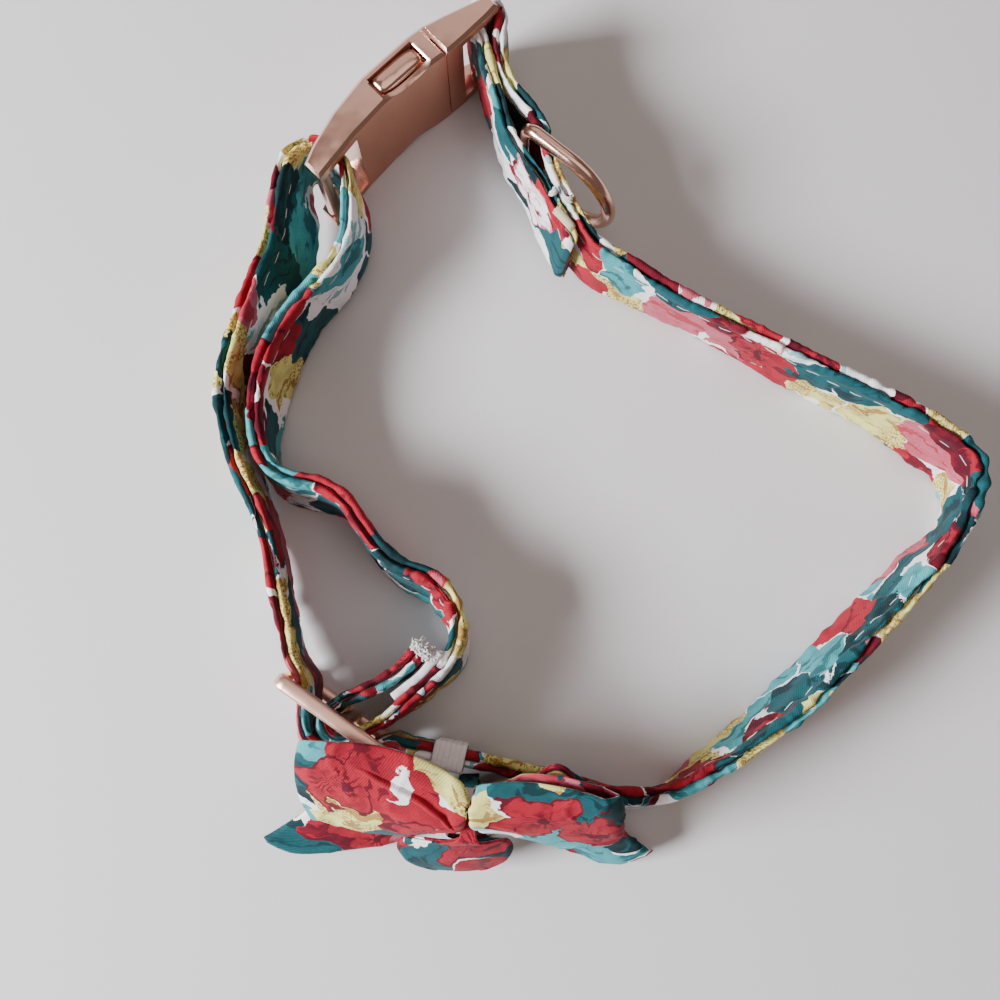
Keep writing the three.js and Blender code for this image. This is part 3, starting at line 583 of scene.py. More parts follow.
# A flower's radius between its petals, what they add to it, their number, its veins and its heart.
FLOWER = {"body": 7.2, "petal": 4.2, "petals": 5, "veins": 11, "heart": 2.4}
TWILL = (9.6, 7.0)  # radians a millimetre along and across the cloth


def column(table, k):
    return [(row[0], row[k]) for row in table]


def print_cotton(name, bare):
    """Cotton twill with a loose floral print, bare of flowers over one share of it."""
    g = Graph(name)
    cloth = g.cloth()
    wander, ragged = g.stray(cloth, 0.075, 16), g.stray(cloth, 0.7, 1.5)
    place = g.vector("ADD", g.vector("ADD", cloth, wander), ragged)

    # ground patches, each with its own second colour in brush strokes and washes
    flat = {"voronoi_dimensions": "2D"}
    cells = g.node("ShaderNodeTexVoronoi", flat, Vector=place, Scale=PATCHES_PER_MM)
    pick = g.node("ShaderNodeSeparateColor", Color=cells.outputs["Color"]).outputs[0]
    ground, stroke = g.ramp(pick, column(PATCHES, 1)), g.ramp(pick, column(PATCHES, 2))
    turned = g.node("ShaderNodeMapping", Vector=place, Rotation=(0, 0, 0.6), Scale=(0.3, 0.9, 1))
    brush = g.step(g.flat_noise(turned.outputs[0], 0.3, 2), 0.56, 0.62)
    color = g.mix(g.times(brush, 0.8), ground, stroke)
    wash = g.step(g.flat_noise(cloth, 0.16, 3), 0.4, 0.7)
    color = g.mix(g.times(wash, 0.32), color, stroke)

    # gold dots on the yellow
    yellow = g.ramp(pick, [(0, 0), (PATCHES[2][0], 1), (PATCHES[3][0], 0)])
    dots = g.step(g.flat_noise(cloth, 1.35, 1), 0.5, 0.56)
    where = g.step(g.flat_noise(cloth, 0.1, 1), 0.46, 0.54)
    color = g.mix(g.times(g.times(dots, where), g.times(yellow, 0.85)), color, GOLD)

    # torn white streaks along some of the patches' borders
    border = g.node("ShaderNodeTexVoronoi", {**flat, "feature": "DISTANCE_TO_EDGE"},
                    Vector=place, Scale=PATCHES_PER_MM)
    torn = g.math("MULTIPLY_ADD", g.flat_noise(cloth, 0.07, 1), -0.42, 0.237)
    streak = g.step(g.math("ADD", border.outputs[0], torn), 0.03, 0.015)
    color = g.mix(streak, color, WHITE)

    # flowers: a rounded rosette of petals with a darker outline and a maroon heart
    beds = g.node("ShaderNodeTexVoronoi", flat, Vector=place, Scale=FLOWERS_PER_MM, Randomness=0.8)
    chance = g.node("ShaderNodeSeparateColor", Color=beds.outputs["Color"]).outputs
    arm = g.vector("SUBTRACT", place, beds.outputs["Position"])
    x, y, _ = g.split(arm)
    angle, radius = g.math("ARCTAN2", y, x), g.vector("LENGTH", arm)
    turn = g.times(chance[1], 6)
    lobes = g.math("SINE", g.math("MULTIPLY_ADD", angle, FLOWER["petals"] / 2, turn))
    rim = g.math("MULTIPLY_ADD", g.math("ABSOLUTE", lobes), FLOWER["petal"], FLOWER["body"])
    inner = g.math("SUBTRACT", rim, radius)
    grows = g.math("GREATER_THAN", chance[0], bare)
    petal, vein = g.ramp(chance[2], column(FLOWERS, 1)), g.ramp(chance[2], column(FLOWERS, 2))
    wobble = g.times(g.flat_noise(cloth, 0.3, 2), 5)
    rays = g.math("SINE", g.math("MULTIPLY_ADD", angle, FLOWER["veins"], wobble))
    ray = g.times(g.step(rays, 0.1, 0.6), g.step(radius, 6.5, 3.5))
    tinge = g.step(g.flat_noise(cloth, 0.25, 2), 0.5, 0.62)
    petal = g.mix(g.times(tinge, 0.35), petal, vein)
    petal = g.mix(g.times(ray, 0.8), petal, vein)
    petal = g.mix(g.step(radius, FLOWER["heart"], 1.8), petal, MAROON)
    petal = g.mix(g.times(g.step(inner, 1.3, 0.9), 0.9), petal, vein)
    color = g.mix(g.times(g.step(inner, -0.1, 0.2), grows), color, petal)

    # flecks of dye, and the twill's own lines
    fleck = g.ramp(g.flat_noise(cloth, 1.7, 3), [(0.3, 0.25), (0.7, 0.75)], "LINEAR")
    color = g.mix(0.22, color, fleck, "OVERLAY")
    along, across, _ = g.split(cloth)
    twill = g.math("SINE", g.math("MULTIPLY_ADD", along, TWILL[0], g.times(across, TWILL[1])))
    shade = g.ramp(twill, [(0, 0.12), (0.7, 0.72)], "LINEAR")
    color = g.mix(0.2, color, shade, "OVERLAY")
    fuzz = g.flat_noise(cloth, 3.2, 3)
    height = g.math("ADD", g.times(twill, 0.3), g.times(fuzz, 0.8))
    return g.surface(color, height, 0.6, 0.00012, Roughness=0.8, Specular_IOR_Level=0.15,
                     Sheen_Weight=0.05, Sheen_Roughness=0.4)


def rose_gold(name, least_rough):
    """Bright rose-gold plating over a casting that was polished by hand."""
    g = Graph(name)
    place = g.place()
    cloud, fine = g.solid_noise(place, 110, 3), g.solid_noise(place, 1400, 3)
    color = g.mix(cloud, linear((248, 206, 190)), linear((238, 188, 170)))
    rough = g.math("MULTIPLY_ADD", cloud, 0.2, g.math("MULTIPLY_ADD", fine, 0.08, least_rough))
    wave = g.solid_noise(place, 75, 2)
    return g.surface(color, wave, 0.5, 0.0009, Roughness=rough, Metallic=1.0)


def satin_shaded_metal():
    """The buckle's inner side, plated but not polished, its colour darkened as painted shade for
    the darker reflections on that side.
    """
    g = Graph("rose_gold_satin_painted_shade")
    place = g.place()
    grain, cloud = g.solid_noise(place, 900, 4), g.solid_noise(place, 60, 2)
    # painted shade: both tones are darker than the polished metal's, standing for the dark
    # reflections on the inner side
    color = g.mix(cloud, linear((196, 142, 118)), linear((180, 126, 104)))
    rough = g.math("MULTIPLY_ADD", grain, 0.15, 0.42)
    return g.surface(color, grain, 0.25, 0.0001, Roughness=rough, Metallic=0.75)


def thread(name, color):
    """Sewing thread with a fine darker mottle, painted shade between its strands."""
    g = Graph(name)
    strand = g.solid_noise(g.place(), 2500, 2)
    # painted shade: the mottle darkens the thread as if shaded between its strands
    tone = g.mix(g.times(strand, 0.5), linear(color), linear([0.6 * c for c in color]))
    return g.surface(tone, strand, 0.6, 0.0001, Roughness=0.85)


def ribbed_elastic():
    """Light grey knitted elastic with painted shade in the grooves along it."""
    g = Graph("ribbed_elastic")
    cloth = g.cloth()
    along, across, _ = g.split(cloth)
    knit = g.math("SINE", g.times(along, 14))
    tone = g.mix(g.flat_noise(cloth, 1.2, 4), linear((230, 224, 226)), linear((250, 246, 248)))
    tone = g.mix(g.times(g.step(knit, 0.2, 0.9), 0.03), tone, linear((150, 138, 142)))
    # painted shade: the grooves are darkened where shade falls in them
    groove = g.step(g.math("COSINE", g.times(across, 4.96)), 0, 0.6)
    tone = g.mix(groove, tone, linear((52, 46, 50)))
    return g.surface(tone, knit, 0.12, 0.00004, Roughness=0.85, Sheen_Weight=0.2)


def white_tape():
    """Plain white woven tape with fine ribs across it."""
    g = Graph("white_tape")
    cloth = g.cloth()
    rib = g.math("SINE", g.times(g.split(cloth)[0], 12.5))
    tone = g.mix(g.flat_noise(cloth, 0.8, 3), linear((214, 206, 210)), linear((242, 238, 240)))
    tone = g.mix(g.times(g.step(rib, 0.3, 0.95), 0.08), tone, linear((170, 160, 166)))
    return g.surface(tone, rib, 0.2, 0.00008, Roughness=0.85)


COTTON = print_cotton("printed_cotton", 0.35)
STRAP_COTTON = print_cotton("printed_strap_cotton", 0.66)
METAL = rose_gold("rose_gold", 0.06)
SLIDER_METAL = rose_gold("rose_gold_slider", 0.2)
SATIN_SHADED = satin_shaded_metal()
WHITE_THREAD = thread("white_thread", (236, 232, 232))
CREAM_THREAD = thread("cream_thread", (232, 220, 190))


# ---- strap
STRAP_STEP = 0.53  # most distance between two rows of the strap's points
STITCH_DEPTH = 5.1  # below the strap's top
END_ROUND, END_DROP = 2.2, 1.6  # how far along and down the strap's ends are rounded
OTHER_PLY_PRINT = 140  # where the other ply's print starts, round the section
# Where the cloth is ruched, squeezed in a turn or swollen in pillows: x, y and reach.
RUCHED, TURN, S_BEND_CREST, PILLOWS = (62, -45, 42), (95, -15, 13), (-38, -47, 8), (-38, -47, 9)
# Heights of the strap's relief.
RELIEF = {"gather": 0.2, "ruck": 0.36, "wave": 0.3, "crumple": 0.8, "stitch": 0.22, "crest": 0.16}


def side_of(rows, side, thick):
    """The rows of one strand of the doubled tip."""
    rows = np.array(rows, float)
    return [[x + side * part * left[0], y + side * part * left[1], side * lean, LIFT, thick]
            for (x, y, lean, part), left in zip(rows, leftward(rows))]


def on_slider(rows):
    """Rows given along and across the slider, in the strap's own columns."""
    x, y, ax, ay = SLIDER_AT
    return [[x + t * ax - s * ay, y + t * ay + s * ax, 0, LIFT, thick] for t, s, thick in rows]


ROUTE = [
    INNER_TIP, *side_of(DOUBLED, -1, 3.6)[:-1][::-1],
    *([x, y, 0, LIFT, 3.2] for x, y in arc(*MALE_BAR, 4, 205, 0, 6)),
    *side_of(DOUBLED, 1, 3.6), *MAIN_UPPER, *CORNER, *MAIN_LOWER, *BEHIND_BOW,
    *on_slider(THROUGH_SLIDER), *OUTER_STRAND, *FEMALE_LOOP, *INNER_STRAND, *S_BEND,
    *on_slider(ROUND_CENTRE_BAR), *SEWN_END,
]

# One ply's section from the groove at the top, over its folded edge and down its face: share of
# half the thickness, and depth below the top.
TOP_PLY = [
    (0.03, 2.4), (0.1, 1.5), (0.17, 0.8), (0.27, 0.3), (0.4, 0.06), (0.54, 0), (0.68, 0.1),
    (0.8, 0.35), (0.9, 0.75), (0.97, 1.3), (1, 2), (0.97, 2.8), (0.91, 3.6), (0.86, 4.4),
    (0.84, 5.1), (0.88, 5.9), (0.93, 7), (0.96, 8.6), (0.97, 10.5), (0.97, 12.5),
]
LOW_PLY = [
    (0.97, 15.5), (0.93, 18.5), (0.86, 20.4), (0.95, 22.6), (0.97, 24), (0.6, 25),
    (0.15, 24.2), (0.03, 23.2),
]
PLY = TOP_PLY + LOW_PLY


def swept(name, grid, run, around, material):
    """A closed section swept along a run, as a piece that stands for the CAD strap."""
    return make_piece(name, grid.reshape(-1, 3), capped(*grid.shape[:2]), material,
                      uv=pairs(run[:, None], around[None, :]), node="strap")


def strap_grid():
    """The strap's plain surface: its line, points, distance along, and distance round the plies."""
    line = smooth(ROUTE, STRAP_STEP)
    x, y, lean, foot, thick = line.T
    left, tilt, mid = leftward(line), np.radians(lean), WIDTH / 2
    raise_by = foot - mid * (1 - np.cos(tilt))
    run = along_line(line[:, :2])
    ends = np.minimum(run, run[-1] - run)
    plump = np.sqrt(1 - (1 - np.clip(ends / END_ROUND, 0.03, 1)) ** 2)
    columns = []
    for share, depth, side in [(s, d, 1) for s, d in PLY] + [(s, d, -1) for s, d in PLY[::-1]]:
        reach = side * share * thick / 2 * plump
        rise = (mid - depth) - np.sign(mid - depth) * END_DROP * (1 - plump)
        over = reach * np.cos(tilt) + rise * np.sin(tilt)
        up = rise * np.cos(tilt) - reach * np.sin(tilt)
        z = np.maximum(mid + up + raise_by, foot)
        columns.append(np.stack([x + left[:, 0] * over, y + left[:, 1] * over, z], 1))
    around = along_line(np.array([(s * 2, d) for s, d in PLY]))
    around = np.concatenate([around, OTHER_PLY_PRINT + around[::-1]])
    return line, np.stack(columns, 1), run, around


def strap():
    """The strap with its gathers, rucks, crumples and the pull of its stitches."""
    line, grid, run, around = strap_grid()

    def near(x, y, reach):
        """How close each row is to a place, from 0 to 1."""
        return bump(np.hypot(line[:, 0] - x, line[:, 1] - y), 0, reach)[:, None]

    depth = np.array([d for _, d in PLY])
    u, d = run[:, None], np.concatenate([depth, depth[::-1]])[None, :]
    side = np.concatenate([np.zeros(len(PLY)), np.ones(len(PLY))])[None, :]
    shift = side * 37.0
    edge = np.exp(-np.minimum(d, WIDTH - d) / 2.6)
    gathers = noise(u / 1.25 + shift, 3 * side, 11) * edge * RELIEF["gather"]
    ruck = noise(u / 3.2 + shift, d / 2.8 + 9 * side, 12) * RELIEF["ruck"]
    ruck = ruck * (1 + 0.8 * near(*RUCHED))
    wave = noise(u / 9 + shift, d / 9, 13) * RELIEF["wave"]
    tight = near(*TURN) + 1.3 * near(*S_BEND_CREST)
    crumple = noise(u / 2.6 + shift, d / 3.5 + 5, 14) * tight * RELIEF["crumple"]
    pillow = np.maximum(noise(u / 2.1 + shift, d / 9 + 2, 17), -0.15) * near(*PILLOWS)
    crumple = crumple + pillow * np.exp(-np.abs(d - 2) / 7) * (0.3 + 2.1 * side)
    pull = bump(d, STITCH_DEPTH, 0.9) * (0.75 + 0.25 * noise(u / 1.6, side, 15))
    swell = gathers + ruck + wave + crumple - RELIEF["stitch"] * pull
    shaped = grid + grid_normals(grid, closed_columns=True) * swell[:, :, None]
    shaped[:, :, 2] = np.maximum(shaped[:, :, 2], 0)
    # the crest of each ply wavers up and down a little
    crest = bump(d, 0, 1.2) * noise(u / 1.7 + shift, 5 * side, 16)
    shaped[:, :, 2] += crest * RELIEF["crest"]
    return swept("strap_cloth", shaped, run, around, STRAP_COTTON), shaped, run


STRAP, STRAP_POINTS, STRAP_RUN = strap()
STRAP_NORMALS = grid_normals(STRAP_POINTS, closed_columns=True)

# Half of the raw ply's section, from the top down, in PLY's two columns.
RAW_PLY = [
    (0.2, 0), (0.55, 0.06), (0.85, 0.3), (1, 0.8), (1, 2), (1, 5), (1, 12),
    (1, 20), (1, 24.4), (0.5, 25),
]


def third_ply():
    """The webbing's own raw end: a flat white ply beside the two cotton ones."""
    line = smooth(THIRD_PLY, 0.4)
    x, y, _, foot, thick = line.T
    left, run = leftward(line), along_line(line[:, :2])
    section = RAW_PLY + [(-share, depth) for share, depth in RAW_PLY[::-1]]
    around = along_line(np.array(section))
    columns = []
    for share, depth in section:
        over = share * thick / 2 + 0.12 * noise(run / 2.2, depth / 6, 61)
        top = WIDTH + foot - 0.5 + 0.25 * noise(run / 1.6, 0 * run, 62)
        columns.append(np.stack([x + left[:, 0] * over, y + left[:, 1] * over,
                                 np.maximum(top - depth, foot)], 1))
    return swept("strap_raw_ply", np.stack(columns, 1), run, around, white_tape())


FRAY = {
    "threads": 230, "step": 0.2, "middle": (-43.9, -56.6, 27.6), "ahead": (0.66, 0.75, 0),
    "across": (-0.75, 0.66, 0), "low": 24, "high": 29.9,
}


def frayed_end():
    """A crumple of white tape with short curled threads over the tips of the plies."""
    rng = np.random.default_rng(77)
    middle, ahead, across = (np.array(FRAY[key]) for key in ("middle", "ahead", "across"))
    tubes = []
    for _ in range(FRAY["threads"]):
        side, front = rng.uniform(-3.4, 2.6), rng.uniform(-1.9, 1.5)
        dome = 1.5 - 0.12 * side * side - 0.3 * front * front + rng.uniform(-0.5, 0.3)
        line = [middle + across * side + ahead * front + [0, 0, dome]]
        heading = rng.normal(size=3) * [1, 1, 0.35] + ahead * 0.35
        bend = rng.normal(size=3) * 0.5
        for _ in range(rng.integers(7, 13)):
            heading = heading / np.linalg.norm(heading)
            line.append(line[-1] + heading * FRAY["step"])
            heading = heading + np.cross(bend, heading) * 0.8 + rng.normal(size=3) * 0.14
        line = np.array(line)
        line[:, 2] = np.clip(line[:, 2], FRAY["low"], FRAY["high"])
        tubes.append(tube(line, rng.uniform(0.1, 0.19), 5, taper=0.5))
    return thread_piece("strap_frayed_threads", tubes, WHITE_THREAD)


STITCH = {"length": 3.7, "every": 6.3, "radius": 0.13, "start": 3, "end": 6, "points": 7}


def stitches():
    """Running stitches along both faces, a little under each folded edge."""
    rng = np.random.default_rng(21)
    tubes = []
    count = STITCH["points"]
    arch = 0.12 * (1 - np.abs(np.linspace(-1, 1, count)) ** 3)
    at_stitch = next(i for i, (_, d) in enumerate(TOP_PLY) if d >= STITCH_DEPTH)
    for down in (at_stitch, 2 * len(PLY) - 1 - at_stitch):
        start = STITCH["start"]
        while start < STRAP_RUN[-1] - STITCH["end"]:
            length = STITCH["length"] + rng.uniform(-0.4, 0.4)
            index = np.searchsorted(STRAP_RUN, np.linspace(start, start + length, count))
            lift = (arch - rng.uniform(0.05, 0.13))[:, None]
            line = STRAP_POINTS[index, down] + STRAP_NORMALS[index, down] * lift
            tubes.append(tube(line, STITCH["radius"], 6, taper=0.5))
            start += STITCH["every"] + rng.uniform(-0.3, 0.3)
    return thread_piece("strap_stitches", tubes, WHITE_THREAD)


BAR_STITCH = [(-11, 54.2, 29.4), (-6.4, 48.9, 29.4)]
LOOSE_ENDS = [((-12.3, 58.6, 29.2), -0.6), ((-8.4, 57.6, 29.2), -1.4)]


def bar_stitch():
    """The cream bar stitch that closes the doubled tip, and the loose ends beside it."""
    rng = np.random.default_rng(5)
    start, end = np.array(BAR_STITCH[0]), np.array(BAR_STITCH[1])
    ahead = (end - start) / np.linalg.norm(end - start)
    across = np.array([-ahead[1], ahead[0], 0])
    t = np.linspace(0, 1, 9)[:, None]
    tubes = []
    for side in np.linspace(-1, 1, 9):
        rise = 0.55 * (1 - (2 * t - 1) ** 4) - 0.35 * side * side
        line = start + (end - start) * t + across * side + [0, 0, 1] * rise
        tubes.append(tube(line + ahead * rng.uniform(-0.2, 0.2), 0.17, 6, taper=0.4))
    bar = thread_piece("strap_bar_stitch", tubes, CREAM_THREAD)
    tubes = []
    for middle, turn in LOOSE_ENDS:
        for _ in range(5):
            heading = turn + rng.uniform(-0.5, 0.5)
            line = [np.array(middle) + rng.normal(size=3) * [0.3, 0.3, 0.1]]
            for _ in range(9):
                line.append(line[-1] + [0.3 * math.cos(heading), 0.3 * math.sin(heading), 0])
                heading += rng.uniform(0.15, 0.4)
            line = np.array(line)
            line[:, 2] += 0.5 * np.sin(np.linspace(0, math.pi, len(line)))
            tubes.append(tube(line, 0.42, 8, taper=0.8))
    return [bar, thread_piece("strap_loose_ends", tubes, WHITE_THREAD)]


STRAP_TRIMMINGS = [third_ply(), frayed_end(), stitches(), *bar_stitch()]


# ---- bow, knot and elastic
CLOTH_THICK, KNOT_THICK = 0.9, 1.2
BOW_HEIGHT = 34.0
# Where each piece was cut from the print.
BOW_FRONT_PRINT, BOW_BACK_PRINT, KNOT_PRINT = (992.5, 605), (1115, 570), (900, 625)
BACK_PRINT = [0, 61]  # how far the print on a sheet's back is moved
# The slanting fold of the front bow's left lobe, seen from the front: its x and z.
FOLD_X = [-57, -52.1, -48.4, -43.4, -39, -35]
FOLD_Z = [42.4, 40.6, 39.8, 38.4, 36, 31.5]
FOLD_SHARE = 0.24  # the part of the bow's rows, from its left tip on, that the fold runs over
NEAR_FOLD = np.array([-0.02, -0.012, -0.007, -0.0035, 0, 0.0035, 0.007, 0.012, 0.02])


def cloth_sheet(name, node, grid, thick, uv, material=COTTON, closed=False):
    """A grid of points made into cloth of a given thickness, with round edges."""
    rows, columns = grid.shape[:2]
    rim = np.ones(columns)
    rim[[0, -1]] = 0.35
    rim[[1, -2]] = 0.8
    swell = grid_normals(grid, closed_rows=closed) * (thick / 2 * rim)[None, :, None]
    points = np.vstack([(grid + swell).reshape(-1, 3), (grid - swell).reshape(-1, 3)])
    back = rows * columns
    front = quads(rows, columns, closed)
    faces = front.tolist() + (front[:, ::-1] + back).tolist()
    for i in range(rows if closed else rows - 1):
        a, b = i * columns, (i + 1) % rows * columns
        faces.append([a, back + a, back + b, b])
        a, b = a + columns - 1, b + columns - 1
        faces.append([a, b, back + b, back + a])
    for k in range(0 if closed else columns - 1):
        a = (rows - 1) * columns + k
        faces += [[k, k + 1, back + k + 1, back + k], [a, back + a, back + a + 1, a + 1]]
    return make_piece(name, points, faces, material, np.vstack([uv, uv + BACK_PRINT]),
                      node=node)


def over_fold(grid):
    """How far each point is above the left lobe's fold, and how strongly the fold shows there."""
    x, z = grid[:, :, 0], grid[:, :, 2]
    above = z - np.interp(x, FOLD_X, FOLD_Z)
    tip = int(np.argmin(grid[:, 0, 0]))
    front = np.zeros(len(grid))
    front[tip:tip + int(FOLD_SHARE * len(grid))] = 1
    fade = np.clip((x + 58) / 7, 0, 1) * np.clip((-35.5 - x) / 2, 0, 1)
    return above, front[:, None] * fade


def pleat(grid):
    """The left lobe's upper panel laid over the lower one."""
    above, fade = over_fold(grid)
    step = 1 / (1 + np.exp(-np.clip(above / 0.07, -30, 30)))
    panel = 0.8 * step * np.exp(-np.maximum(above, 0) / 7)
    return fade * (panel - 0.5 * bump(above, -0.2, 0.3))


def along_fold(spread, t):
    """Shares across each row, moved so that one line of points runs along the fold."""
    above, fade = over_fold(spread(t[None, :]))
    index = np.arange(len(above))
    place = np.full(len(above), np.nan)
    for i, row in enumerate(above):
        turns = np.nonzero(row[:-1] * row[1:] <= 0)[0]
        if fade[i].max() > 0 and len(turns):
            k = turns[0]
            place[i] = t[k] + (t[k + 1] - t[k]) * row[k] / (row[k] - row[k + 1])
    known = np.nonzero(~np.isnan(place))[0]
    place = np.interp(index, known, place[known])
    middle = float(np.mean(place[known]))
    apart = np.maximum(0, np.maximum(known[0] - index, index - known[-1]))
    place = middle + (place - middle) * bump(apart, 0, 12)
    before = int(round(middle * len(t)))
    return np.array([np.concatenate([np.linspace(0, p - 0.03, before), p + NEAR_FOLD,
                                     np.linspace(p + 0.03, 1, len(t) - before)])
                     for p in place])


def bow(name, table, seed, depth, shift, across=61, longest=0.9, fold=None):
    """One bow with its gathers at the knot, and the length of its cloth."""
    rows = smooth(table, longest)
    top, middle, low = rows[:, None, 0:3], rows[:, None, 3:6], rows[:, None, 6:9]

    def spread(t):
        t = t[:, :, None]
        return top * (1 - t) * (1 - 2 * t) + 4 * middle * t * (1 - t) + low * t * (2 * t - 1)

    t = np.linspace(0, 1, across)
    t = along_fold(spread, t) if fold else np.tile(t, (len(rows), 1))
    grid = spread(t)
    u = along_line(rows[:, 3:6])[:, None]
    v = t * BOW_HEIGHT
    near = bump(grid[:, :, 0], -33, 15)  # the knot's x, and how far its gathers reach
    gathers = noise(v / 4.6 + seed, u / 40 + seed, seed + 1)
    gathers = gathers + 0.5 * noise(v / 2.3, u / 22, seed + 2)
    wrinkle = noise(u / 7 + seed, v / 6, seed + 3) * 0.35
    bent = noise((u + 0.6 * v) / 9 + 3 * seed, (v - 0.5 * u) / 15, seed + 5)
    crease = 0.4 * np.abs(bent) - 0.36 * bump(bent, 0, 0.07)
    move = gathers * near * depth + (wrinkle + crease) * (1 - 0.6 * near)
    if fold:
        move = move + fold(grid)
    grid = grid + grid_normals(grid) * move[:, :, None]
    uv = pairs(u + shift[0], v + shift[1])
    return cloth_sheet(name + "_cloth", name, grid, CLOTH_THICK, uv), float(u[-1, 0])


BOW_FRONT, front_length = bow("bow_front", FRONT_BOW, 31, 0.55, BOW_FRONT_PRINT, 81, 0.6, pleat)
BOW_BACK, back_length = bow("bow_back", BACK_BOW, 41, 0.6, BOW_BACK_PRINT)


def knot():
    """The band wrapped round both bows, and the area of its cloth in square metres."""
    y, z, half, x = smooth(WRAP, 0.7, True).T
    k = np.linspace(-1, 1, 41)[None, :]
    sag = 1.3 * k * k * np.maximum(0, (half - 5) / 8.6)[:, None]
    grid = np.stack([x[:, None] + k * half[:, None], y[:, None] + sag, z[:, None] - 2 * sag], 2)
    u = along_line(np.stack([y, z], 1))[:, None]
    v = k * half[:, None]
    crease = noise(u / 9, v / 6 + 7, 51) * 0.3 + noise(u / 3 + 3, v / 2.6, 52) * 0.1
    crease = (crease + 0.35 * bump(np.abs(k), 0.93, 0.07)) * np.minimum(1, half / 8)[:, None]
    grid = grid + grid_normals(grid, closed_rows=True) * crease[:, :, None]
    uv = pairs(u + KNOT_PRINT[0], v + KNOT_PRINT[1])
    area = float(np.sum(2 * half * np.gradient(u[:, 0]))) / 1e6
    return cloth_sheet("bow_knot_cloth", "bow_knot", grid, KNOT_THICK, uv, closed=True), area


KNOT, KNOT_AREA = knot()


def even_loop(path, count):
    """Points at even distances round a closed path."""
    path = np.array(path + path[:1])
    run = along_line(path)
    where = np.linspace(0, run[-1], count + 1)[:-1]
    return np.interp(where, run, path[:, 0]), np.interp(where, run, path[:, 1]), where


def elastic():
    """The elastic round the strap, with five grooves along it."""
    e = ELASTIC
    side, up, r = 2.6 + e["thick"] / 2, WIDTH / 2 + 0.5 + e["thick"] / 2, e["corner"]
    path = []
    for k, (a, b) in enumerate([(1, 1), (-1, 1), (-1, -1), (1, -1)]):
        path += arc(a * (side - r), b * (up - r), r, 90 * k, 90 * k + 90, 8)
    px, py, where = even_loop(path, 130)
    tilt, slope = math.radians(e["lean"]), e["slope"]
    over = (px * math.cos(tilt) + py * math.sin(tilt))[:, None]
    rise = (py * math.cos(tilt) - px * math.sin(tilt))[:, None]
    k = np.linspace(-1, 1, 91)[None, :]
    along = k * e["width"] / 2
    length = math.hypot(1, slope)
    grid = np.stack(np.broadcast_arrays(e["x"] + (along + slope * over) / length,
                                        e["y"] + (over - slope * along) / length,
                                        e["foot"] + WIDTH / 2 + rise + 0 * along), 2)
    groove = np.abs((k * 3 + 0.5) % 1 - 0.5)
    ribs = -0.34 * bump(groove, 0, 0.17) - 0.3 * np.maximum(0, np.abs(k) - 0.8) / 0.2
    grid = grid + grid_normals(grid, closed_rows=True) * ribs[:, :, None]
    cloth_sheet("elastic_loop_band", "elastic_loop", grid, e["thick"],
                pairs(where[:, None], along), ribbed_elastic(), closed=True)


elastic()


# ---- polished metal
def cast(name, node, rounding, inside=None, metal=METAL):
    """A copy of a CAD solid with its edges rounded; faces turned the way of inside get the satin
    metal, which carries painted shade.
    """
    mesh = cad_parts[node].data.copy()
    bm = bmesh.new()
    bm.from_mesh(mesh)
    bmesh.ops.remove_doubles(bm, verts=bm.verts, dist=1e-6)
    bmesh.ops.dissolve_limit(bm, angle_limit=math.radians(1.5), verts=bm.verts, edges=bm.edges)
    bm.to_mesh(mesh)
    bm.free()
    mesh.materials.clear()
    mesh.materials.append(metal)
    # faces turned inwards get the satin metal, darkened with painted shade
    if inside:
        mesh.materials.append(SATIN_SHADED)
        for face in mesh.polygons:
            if face.normal.dot(Vector(inside)) > 0.8:
                face.material_index = 1
    mesh.shade_smooth()
    piece = link(name, mesh)
    bevel = piece.modifiers.new("rounding", "BEVEL")
    bevel.width = rounding * MM
    bevel.segments = 3
    bevel.limit_method = "ANGLE"
    bevel.angle_limit = math.radians(28)
    bevel.harden_normals = True
    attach(piece, "collar")
    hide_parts(node)


INWARD = (BUCKLE_AT[3], -BUCKLE_AT[2], 0)
cast("buckle_female_cast", "buckle_female", 0.35, INWARD)
cast("buckle_male_cast", "buckle_male", 0.35, INWARD)
cast("slider_cast", "slider", 0.3, metal=SLIDER_METAL)

# The pad in the buckle's window: sizes along and across the buckle, where its middle line runs,
# and its rings from the foot up, each with its inset and height.
PAD = {
    "middle": 34, "length": 14.4, "width": 5.5, "squareness": 5,
    "line": ([26, 36, 41.5], [5.15, 5, 4.7]),
    "rings": [(0, 30.2), (0, 32), (0.15, 32.5), (0.45, 32.95), (0.9, 33.25), (1.5, 33.42),
              (2.1, 33.5), (2.6, 33.53)],
}


def button_pad():
    """The domed pad of the upper release button, which all but fills its window."""
    x, y, ax, ay = BUCKLE_AT
    angle = np.linspace(0, 2 * math.pi, 97)[:-1]
    along, over = (np.sign(c) * np.abs(c) ** (2 / PAD["squareness"])
                   for c in (np.cos(angle), np.sin(angle)))
    rings = []
    for inset, z in PAD["rings"]:
        a = PAD["middle"] + along * (PAD["length"] / 2 - inset)
        m = np.interp(a, *PAD["line"]) + over * (PAD["width"] / 2 - inset)
        rings.append(np.stack([x + a * ax - m * ay, y + a * ay + m * ax, 0 * a + z], 1))
    points = np.vstack(rings)
    faces = outward(points, capped(len(rings), len(angle)))
    make_piece("buckle_button_pad", points, faces, METAL)


button_pad()

RING = {"wire": 1.9, "straight": 12.8, "corner": 3.0}


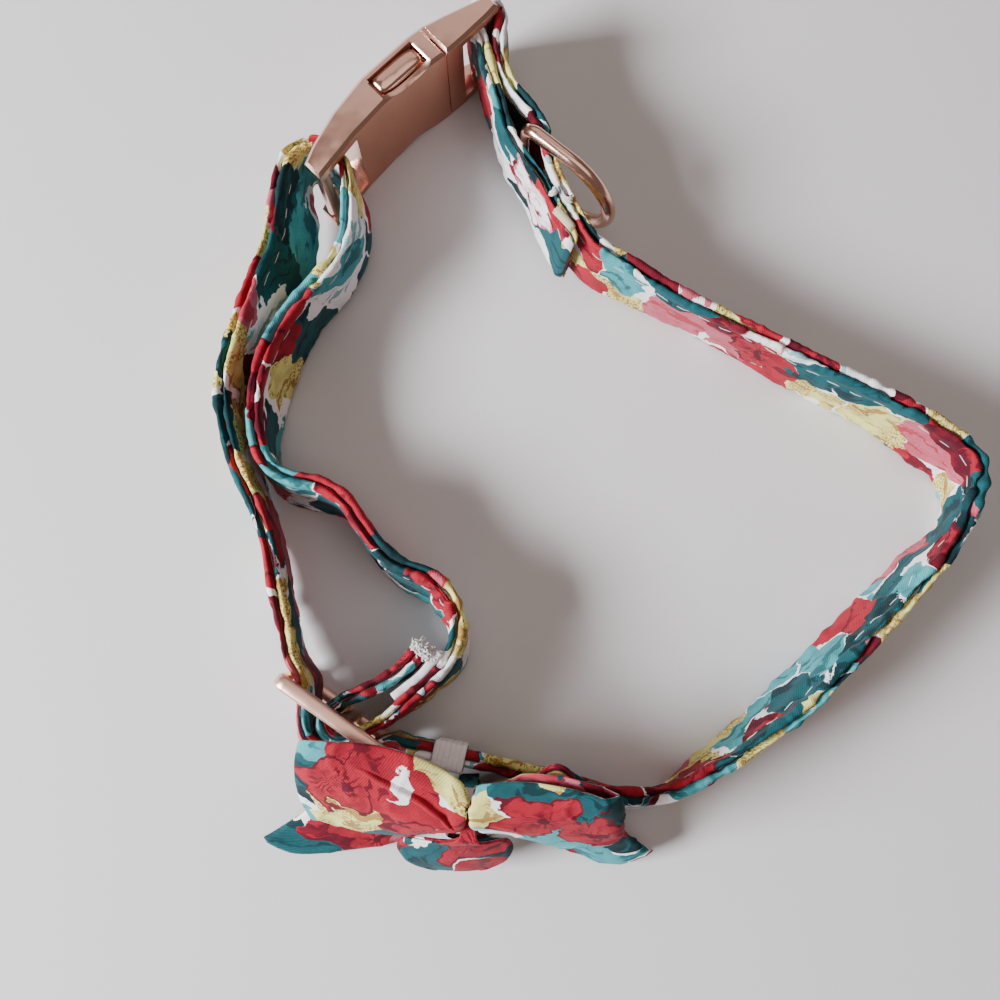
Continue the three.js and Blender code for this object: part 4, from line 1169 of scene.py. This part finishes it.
def d_ring():
    """The D-ring's wire, bent in the plane of the strap's fold."""
    low, high = RING["wire"], HEIGHT - RING["wire"]
    radius, straight, corner = (high - low) / 2, RING["straight"], RING["corner"]
    px, pz, _ = even_loop([*arc(corner, low + corner, corner, 180, 270, 10),
                           *arc(straight, low + radius, radius, -90, 90, 48),
                           *arc(corner, high - corner, corner, 90, 180, 10)], 160)
    x, y, ax, ay = RING_AT
    points, faces = tube(np.stack([x + px * ax, y + px * ay, pz], 1), RING["wire"], 28, closed=True)
    make_piece("d_ring_wire", points, faces, METAL, body="d_ring", node="d_ring")


d_ring()


# ---- floor, light and camera, in metres
FLOOR_HALF = 2.5
# Name, place, aim, width, height, watts, colour.
LIGHTS = [
    ("key", (-1.05, -0.29, 0.66), (0, 0, 0), 0.55, 0.42, 46, (0.965, 0.985, 1)),
    ("ceiling", (0.25, -0.1, 1.5), (0, 0, 0), 1.1, 1.5, 5, (1, 0.9, 0.82)),
    ("wall", (-0.15, 1.15, 1.15), (-0.05, 0.05, 0), 1.6, 1.1, 3.2, (1, 0.9, 0.86)),
]


def floor():
    mesh = bpy.data.meshes.new("floor")
    s = FLOOR_HALF
    mesh.from_pydata([(-s, -s, 0), (s, -s, 0), (s, s, 0), (-s, s, 0)], [], [(0, 1, 2, 3)])
    g = Graph("floor")
    g.put(g.bsdf.inputs["Base Color"], linear((214, 212, 215)))
    g.put(g.bsdf.inputs["Roughness"], 0.7)
    mesh.materials.append(g.material)
    made = link("floor", mesh)
    made.location.z = LOW.z


floor()
for name, place, aim, width, height, watts, color in LIGHTS:
    light = bpy.data.lights.new(name, "AREA")
    light.shape, light.size, light.size_y = "RECTANGLE", width, height
    light.energy, light.color = watts, color
    lamp = link(name, light)
    lamp.location = place
    lamp.rotation_euler = (Vector(aim) - Vector(place)).to_track_quat("-Z", "Y").to_euler()

world = bpy.data.worlds.new("world")
bpy.context.scene.world = world
world.use_nodes = True
background = world.node_tree.nodes["Background"]
background.inputs["Color"].default_value = (1, 0.76, 0.66, 1)
background.inputs["Strength"].default_value = 0.155

camera = bpy.data.cameras.new("camera")
camera.lens = 40.07
camera.sensor_width = 36
view = link("camera", camera)
view.location = (-0.025, -0.057, 0.300)
view.rotation_euler = (math.radians(7.68), 0, 0)
bpy.context.scene.camera = view
